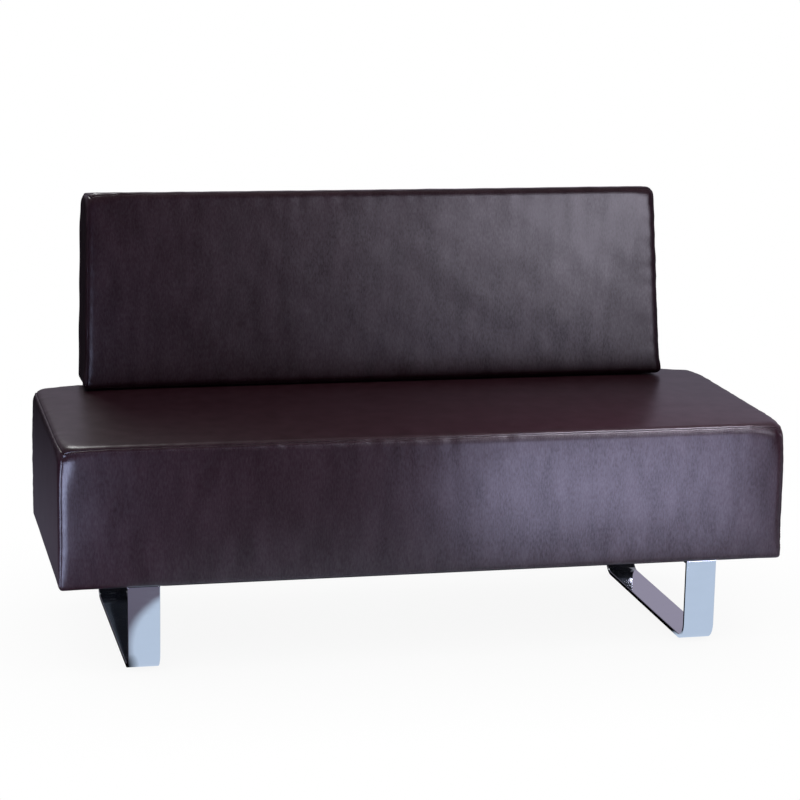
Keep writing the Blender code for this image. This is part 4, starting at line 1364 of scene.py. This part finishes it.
@dataclass
class FloorGlides:
    """Round floor pads under the runners, with a soft lower rim and a turned ring."""

    edge: float = 0.7 * MM

    def build(self, node: str) -> Piece:
        """Model one glide in the place of its node.

        Args:
            node: the CAD node that it stands for.

        Returns:
            The glide.
        """
        low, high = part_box(node)
        bpy.ops.object.select_all(action="DESELECT")
        bpy.ops.mesh.primitive_cylinder_add(
            vertices=48, radius=(high.x - low.x) / 2, depth=high.z - low.z, location=(low + high) / 2
        )
        glide = name_piece(f"turned_{node}")
        with edit_mode(glide, "FACE"):
            pick_faces(glide, lambda middle, normal: normal.z < -0.9)
            bpy.ops.mesh.inset(thickness=4.0 * MM, depth=0.0)
            bpy.ops.mesh.inset(thickness=0.5 * MM, depth=-0.5 * MM)
        ease_edges(glide, self.edge, 3)
        return glide

    def dress(self, rack: FinishRack) -> None:
        """Build the glides and finish them.

        Args:
            rack: the finishes.
        """
        for side in Side:
            for end in ("front", "rear"):
                node = f"glide_{end}_{side.value}"
                rack.dress(self.build(node), Slot.GLIDE, node)


@dataclass
class DustCover:
    """Black cloth stapled under the seat, slack between its fixings."""

    node: str = "dust_cover"
    sag: float = 3.0 * MM
    hem: float = 14.0 * MM
    hem_fold: float = 0.4 * MM
    thickness: float = 0.5 * MM
    border_run: float = 70.0 * MM
    leg_gap: float = 4.0 * MM
    leg_run: float = 60.0 * MM
    waves: Ripple = Ripple(70 * MM, 260 * MM, 51, 9)
    staple_pitch: float = 46.0 * MM

    def build(self) -> tuple[Piece, Piece]:
        """Make the cloth and its staples.

        Returns:
            The cloth and the staples.
        """
        low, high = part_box(self.node)
        size = high - low
        middle = (low + high) / 2
        bpy.ops.object.select_all(action="DESELECT")
        bpy.ops.mesh.primitive_grid_add(x_subdivisions=180, y_subdivisions=70, size=1.0, location=middle)
        bpy.context.active_object.scale = (size.x, size.y, 1.0)
        cloth = name_piece("dust_cloth")
        points = read_points(cloth)
        border = np.minimum(size.x / 2 - np.abs(points[:, 0]), size.y / 2 - np.abs(points[:, 1] - middle.y))
        bars = [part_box(f"leg_{side.value}") for side in Side]
        clear = np.min([np.abs(points[:, 0] - (a.x + b.x) / 2) - (b.x - a.x) / 2 for a, b in bars], axis=0)
        slack = np.clip(border / self.border_run, 0.0, 1.0)
        slack *= np.clip((clear - self.leg_gap) / self.leg_run, 0.0, 1.0)
        points[:, 2] -= self.sag * slack * (0.55 + 0.3 * self.waves.over(points))
        points[:, 2] -= np.where((border < self.hem) & (clear > self.leg_gap), self.hem_fold, 0.0)
        write_points(cloth, points)
        bpy.ops.object.shade_smooth()
        wall = cloth.modifiers.new("wall", "SOLIDIFY")
        wall.thickness = self.thickness
        bpy.ops.object.modifier_apply(modifier=wall.name)
        return cloth, self.staple(low, high, bars)

    def staple(self, low: Vector, high: Vector, bars: Sequence[tuple[Vector, Vector]]) -> Piece:
        """Set staples round the cloth's border.

        Args:
            low: lowest corner of the cloth.
            high: highest corner of the cloth.
            bars: boxes of the two legs, which take no staples.

        Returns:
            The staples.
        """
        inset = self.hem / 2
        across = np.arange(low.x + 3 * inset, high.x - 2 * inset, self.staple_pitch)
        inward = np.arange(low.y + 3 * inset, high.y - 2 * inset, self.staple_pitch)
        under = low.z - 0.2 * MM
        places = []
        for x in across:
            if all(x < a.x - inset or x > b.x + inset for a, b in bars):
                places += [Matrix.Translation((x, y, under)) for y in (low.y + inset, high.y - inset)]
        for y in inward:
            for x in (low.x + inset, high.x - inset):
                places.append(Matrix.Translation((x, y, under)) @ Matrix.Rotation(math.pi / 2, 4, "Z"))
        staple = add_block("one_staple", (-5.0 * MM, -0.6 * MM, -0.3 * MM), (5.0 * MM, 0.6 * MM, 0.3 * MM))
        ease_edges(staple, 0.2 * MM, 1)
        return scatter("dust_cloth_staples", staple, places)

    def dress(self, rack: FinishRack) -> None:
        """Build the cloth and its staples and finish them.

        Args:
            rack: the finishes.
        """
        cloth, staples = self.build()
        rack.dress(cloth, Slot.DUST_CLOTH, self.node)
        rack.dress(staples, Slot.ZINC)


@dataclass(frozen=True)
class SoftBox:
    """A rectangular studio light that faces a point."""

    name: str
    place: Triple
    aim: Triple
    width: float
    height: float
    brightness: float
    colour: Triple = WHITE
    spread: float = 180.0
    mirrored: bool = True

    def build(self) -> None:
        """Hang the light and aim it."""
        bpy.ops.object.light_add(type="AREA", location=self.place)
        lamp = bpy.context.active_object
        lamp.name = self.name
        lamp.data.shape = "RECTANGLE"
        lamp.data.size = self.width
        lamp.data.size_y = self.height
        lamp.data.energy = self.brightness * math.pi * self.width * self.height
        lamp.data.color = self.colour
        lamp.data.spread = math.radians(self.spread)
        lamp.visible_glossy = self.mirrored
        lamp.rotation_euler = (Vector(self.aim) - Vector(self.place)).to_track_quat("-Z", "Y").to_euler()


@dataclass
class Studio:
    """White floor, soft lights and the sky that the pieces reflect."""

    floor_side: float = 120.0
    floor_colour: Triple = (0.80, 0.80, 0.80)
    shadow_reach: float = 0.50
    shadow_share: float = 0.09
    # painted light and shade that only reflections see on the floor: a pool of light, a dim halo, shade under
    # the sofa
    pool_middle: Triple = (-0.05, -0.35, 0.0)
    pool_reach: Triple = (0.52, 0.70, 1.0)
    pool_fade: Pair = (0.0, 0.04)
    pool_colour: Triple = (0.57, 0.67, 0.82)
    halo_middle: Triple = (0.0, -0.40, 0.0)
    halo_reach: Triple = (2.4, 2.9, 1.0)
    halo_fade: Pair = (0.0, 0.5)
    halo_levels: Pair = (0.02, 0.36)
    halo_colour: Triple = (0.43, 0.39, 0.53)
    open_span: Pair = (0.55, 0.95)
    seat_front: float = -0.26
    front_fade: float = 0.03
    sky_front: Triple = (0.05, 0.05, 0.09)
    sky_left: Triple = (0.18, 0.16, 0.20)
    sky_right: Triple = (0.34, 0.31, 0.40)
    sky_high: Triple = (0.20, 0.20, 0.22)
    turn_right: Pair = (-0.15, 0.35)
    turn_back: Pair = (-0.25, 0.25)
    turn_up: Pair = (0.35, 0.75)

    def build(self) -> None:
        """Lay the floor, hang the lights and set the sky."""
        bpy.ops.object.select_all(action="DESELECT")
        bpy.ops.mesh.primitive_plane_add(size=self.floor_side)
        floor = name_piece("studio_floor")
        floor.data.materials.append(self.floor_material())
        for light in self.lights():
            light.build()
        self.set_sky()
        bpy.context.scene.view_settings.view_transform = "Standard"

    def lights(self) -> list[SoftBox]:
        """List the soft boxes of the studio.

        Returns:
            The soft boxes, not yet hung.
        """
        pale = (0.87, 0.84, 1.0)
        cool = (0.68, 0.68, 1.0)
        cold = (0.60, 0.67, 1.0)
        return [
            SoftBox("window", (1.66, -3.15, 1.38), (0.3, 0.15, 0.65), 0.95, 0.68, 16.5, pale),
            SoftBox("crest_right", (0.70, -0.52, 1.25), (0.40, -0.52, 0.43), 0.18, 0.60, 14.0, pale, 80.0),
            SoftBox("low_right", (0.58, -1.00, 0.195), (0.58, -0.3, 0.195), 0.66, 0.37, 6.8, cool),
            SoftBox("low_left", (-1.02, -0.86, 0.25), (-0.69, -0.33, 0.25), 0.62, 0.42, 10.5, cold),
            SoftBox("rear_left", (-0.75, 1.6, 2.3), (-0.6, -0.3, 0.43), 0.5, 0.9, 9.0),
            SoftBox("top", (0.0, -0.6, 3.4), (0.0, 0.0, 0.3), 2.8, 1.6, 6.0, mirrored=False),
        ]

    def floor_material(self) -> bpy.types.Material:
        """Return a white floor with a soft shadow under the sofa, painted from occlusion.

        Returns:
            The material: white with a painted shadow to the camera, painted light and shade in fitted tones
                to reflections, and pale to the light.
        """
        graph = Graph("studio_floor")
        path = graph.add("ShaderNodeLightPath").outputs
        shadow = {"Distance": self.shadow_reach}
        near = graph.add("ShaderNodeAmbientOcclusion", shadow, samples=12).outputs["AO"]
        # painted shadow: occlusion darkens the white that the camera sees
        seen = graph.span(near, (0.0, 1.0), (1.0 - self.shadow_share, 1.0))
        white = graph.blend(seen, BLACK, WHITE)
        mirrored = self.mirrored_floor(graph, near)
        glow = graph.add("ShaderNodeEmission", {"Color": graph.blend(path["Is Camera Ray"], mirrored, white)})
        shown = graph.sum(path["Is Camera Ray"], path["Is Glossy Ray"])
        shown = graph.sum(shown, path["Is Transmission Ray"])
        matt = graph.add("ShaderNodeBsdfDiffuse", {"Color": (*self.floor_colour, 1.0)})
        mixed = graph.add("ShaderNodeMixShader", {0: shown, 1: matt.outputs[0], 2: glow.outputs[0]})
        graph.feed(graph.tree.nodes["Material Output"], "Surface", mixed.outputs[0])
        graph.tree.nodes.remove(graph.tree.nodes["Principled BSDF"])
        return graph.owner

    def mirrored_floor(self, graph: Graph, near: Socket) -> Socket:
        """Return the painted light and shade that the sofa's reflections show of the floor.

        Args:
            graph: the floor's node tree.
            near: how open the floor is, 0 right under the sofa and 1 away from it.

        Returns:
            The colour: a painted pool of light in front of the seat, in a dim painted halo, with painted
                shade under and near the sofa.
        """
        axes = graph.add("ShaderNodeSeparateXYZ", {0: graph.place}).outputs
        leftward = graph.add("ShaderNodeMath", {0: axes["X"], 1: self.pool_middle[0]}, operation="MINIMUM")
        folded = graph.add("ShaderNodeCombineXYZ", {"X": leftward.outputs[0], "Y": axes["Y"]}).outputs[0]
        pool = graph.span(self.spot(graph, folded, self.pool_middle, self.pool_reach), self.pool_fade)
        # painted shade: the pool stops at the seat's front, so reflections see the floor under the sofa dark
        ahead = graph.span(axes["Y"], (self.seat_front, self.seat_front + self.front_fade), (1.0, 0.0))
        halo = self.spot(graph, graph.place, self.halo_middle, self.halo_reach)
        halo = graph.span(halo, self.halo_fade, self.halo_levels)
        # painted shade: the halo dims near the sofa by occlusion
        dim = graph.times(halo, graph.span(near, self.open_span))
        around = graph.blend(dim, BLACK, self.halo_colour)
        return graph.blend(graph.times(pool, ahead), around, self.pool_colour)

    def spot(self, graph: Graph, place: Socket, middle: Triple, reach: Triple) -> Socket:
        """Return a round fade on the floor, 1 in its middle and 0 from its reach on.

        Args:
            graph: the floor's node tree.
            place: coordinates on the floor.
            middle: middle of the spot.
            reach: its half width along each axis.

        Returns:
            The fade.
        """
        shift = tuple(-spot / run for spot, run in zip(middle, reach))
        scale = tuple(1.0 / run for run in reach)
        moved = graph.add("ShaderNodeMapping", {"Vector": place, "Location": shift, "Scale": scale})
        inputs = {"Vector": moved.outputs["Vector"]}
        return graph.add("ShaderNodeTexGradient", inputs, gradient_type="SPHERICAL").outputs["Fac"]

    def set_sky(self) -> None:
        """Give the world soft greys: dim in front, paler behind to the right."""
        graph = Graph("studio", world=True)
        bpy.context.scene.world = graph.owner
        axes = graph.add("ShaderNodeSeparateXYZ", {0: graph.coords["Generated"]}).outputs
        behind = graph.blend(graph.span(axes["X"], self.turn_right), self.sky_left, self.sky_right)
        around = graph.blend(graph.span(axes["Y"], self.turn_back), self.sky_front, behind)
        sky = graph.blend(graph.span(axes["Z"], self.turn_up), around, self.sky_high)
        graph.feed(graph.tree.nodes["Background"], "Color", sky)


@dataclass
class PhotoCamera:
    """The camera, fitted to the photograph."""

    azimuth: float = math.radians(-13.1841)
    elevation: float = math.radians(12.3852)
    roll: float = math.radians(1.0938)
    distance: float = 4.9661
    target: Triple = (-0.0035, -0.0539, 0.4456)
    focal_pixels: float = 2528.0

    def build(self) -> None:
        """Set the camera up and make it the scene's own."""
        level = Vector((math.sin(self.azimuth), -math.cos(self.azimuth), 0.0)) * math.cos(self.elevation)
        back = level + Vector((0.0, 0.0, math.sin(self.elevation)))
        right = Vector((0.0, 0.0, 1.0)).cross(back).normalized()
        up = back.cross(right)
        turned_right = math.cos(self.roll) * right + math.sin(self.roll) * up
        turned_up = back.cross(turned_right)
        place = Matrix((turned_right, turned_up, back)).transposed().to_4x4()
        place.translation = Vector(self.target) + back * self.distance
        bpy.ops.object.camera_add()
        camera = bpy.context.active_object
        camera.name = "photo_camera"
        camera.matrix_world = place
        camera.data.sensor_width = SENSOR_WIDTH
        camera.data.lens = SENSOR_WIDTH * self.focal_pixels / IMAGE_SIDE
        bpy.context.scene.camera = camera


def main() -> None:
    """Build and dress every piece, then set up the studio and the camera."""
    logging.basicConfig(level=logging.INFO, format="%(name)s %(message)s")
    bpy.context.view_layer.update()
    PhotoCamera().build()
    Studio().build()
    rack = FinishRack()
    rack.dress_frame()
    SeatCushion().dress(rack)
    BackCushion().dress(rack)
    for side in Side:
        SledLeg(side).dress(rack)
        BackBracket(side).dress(rack)
    HexBolts().dress(rack)
    FloorGlides().dress(rack)
    DustCover().dress(rack)


if __name__ == "__main__":
    main()
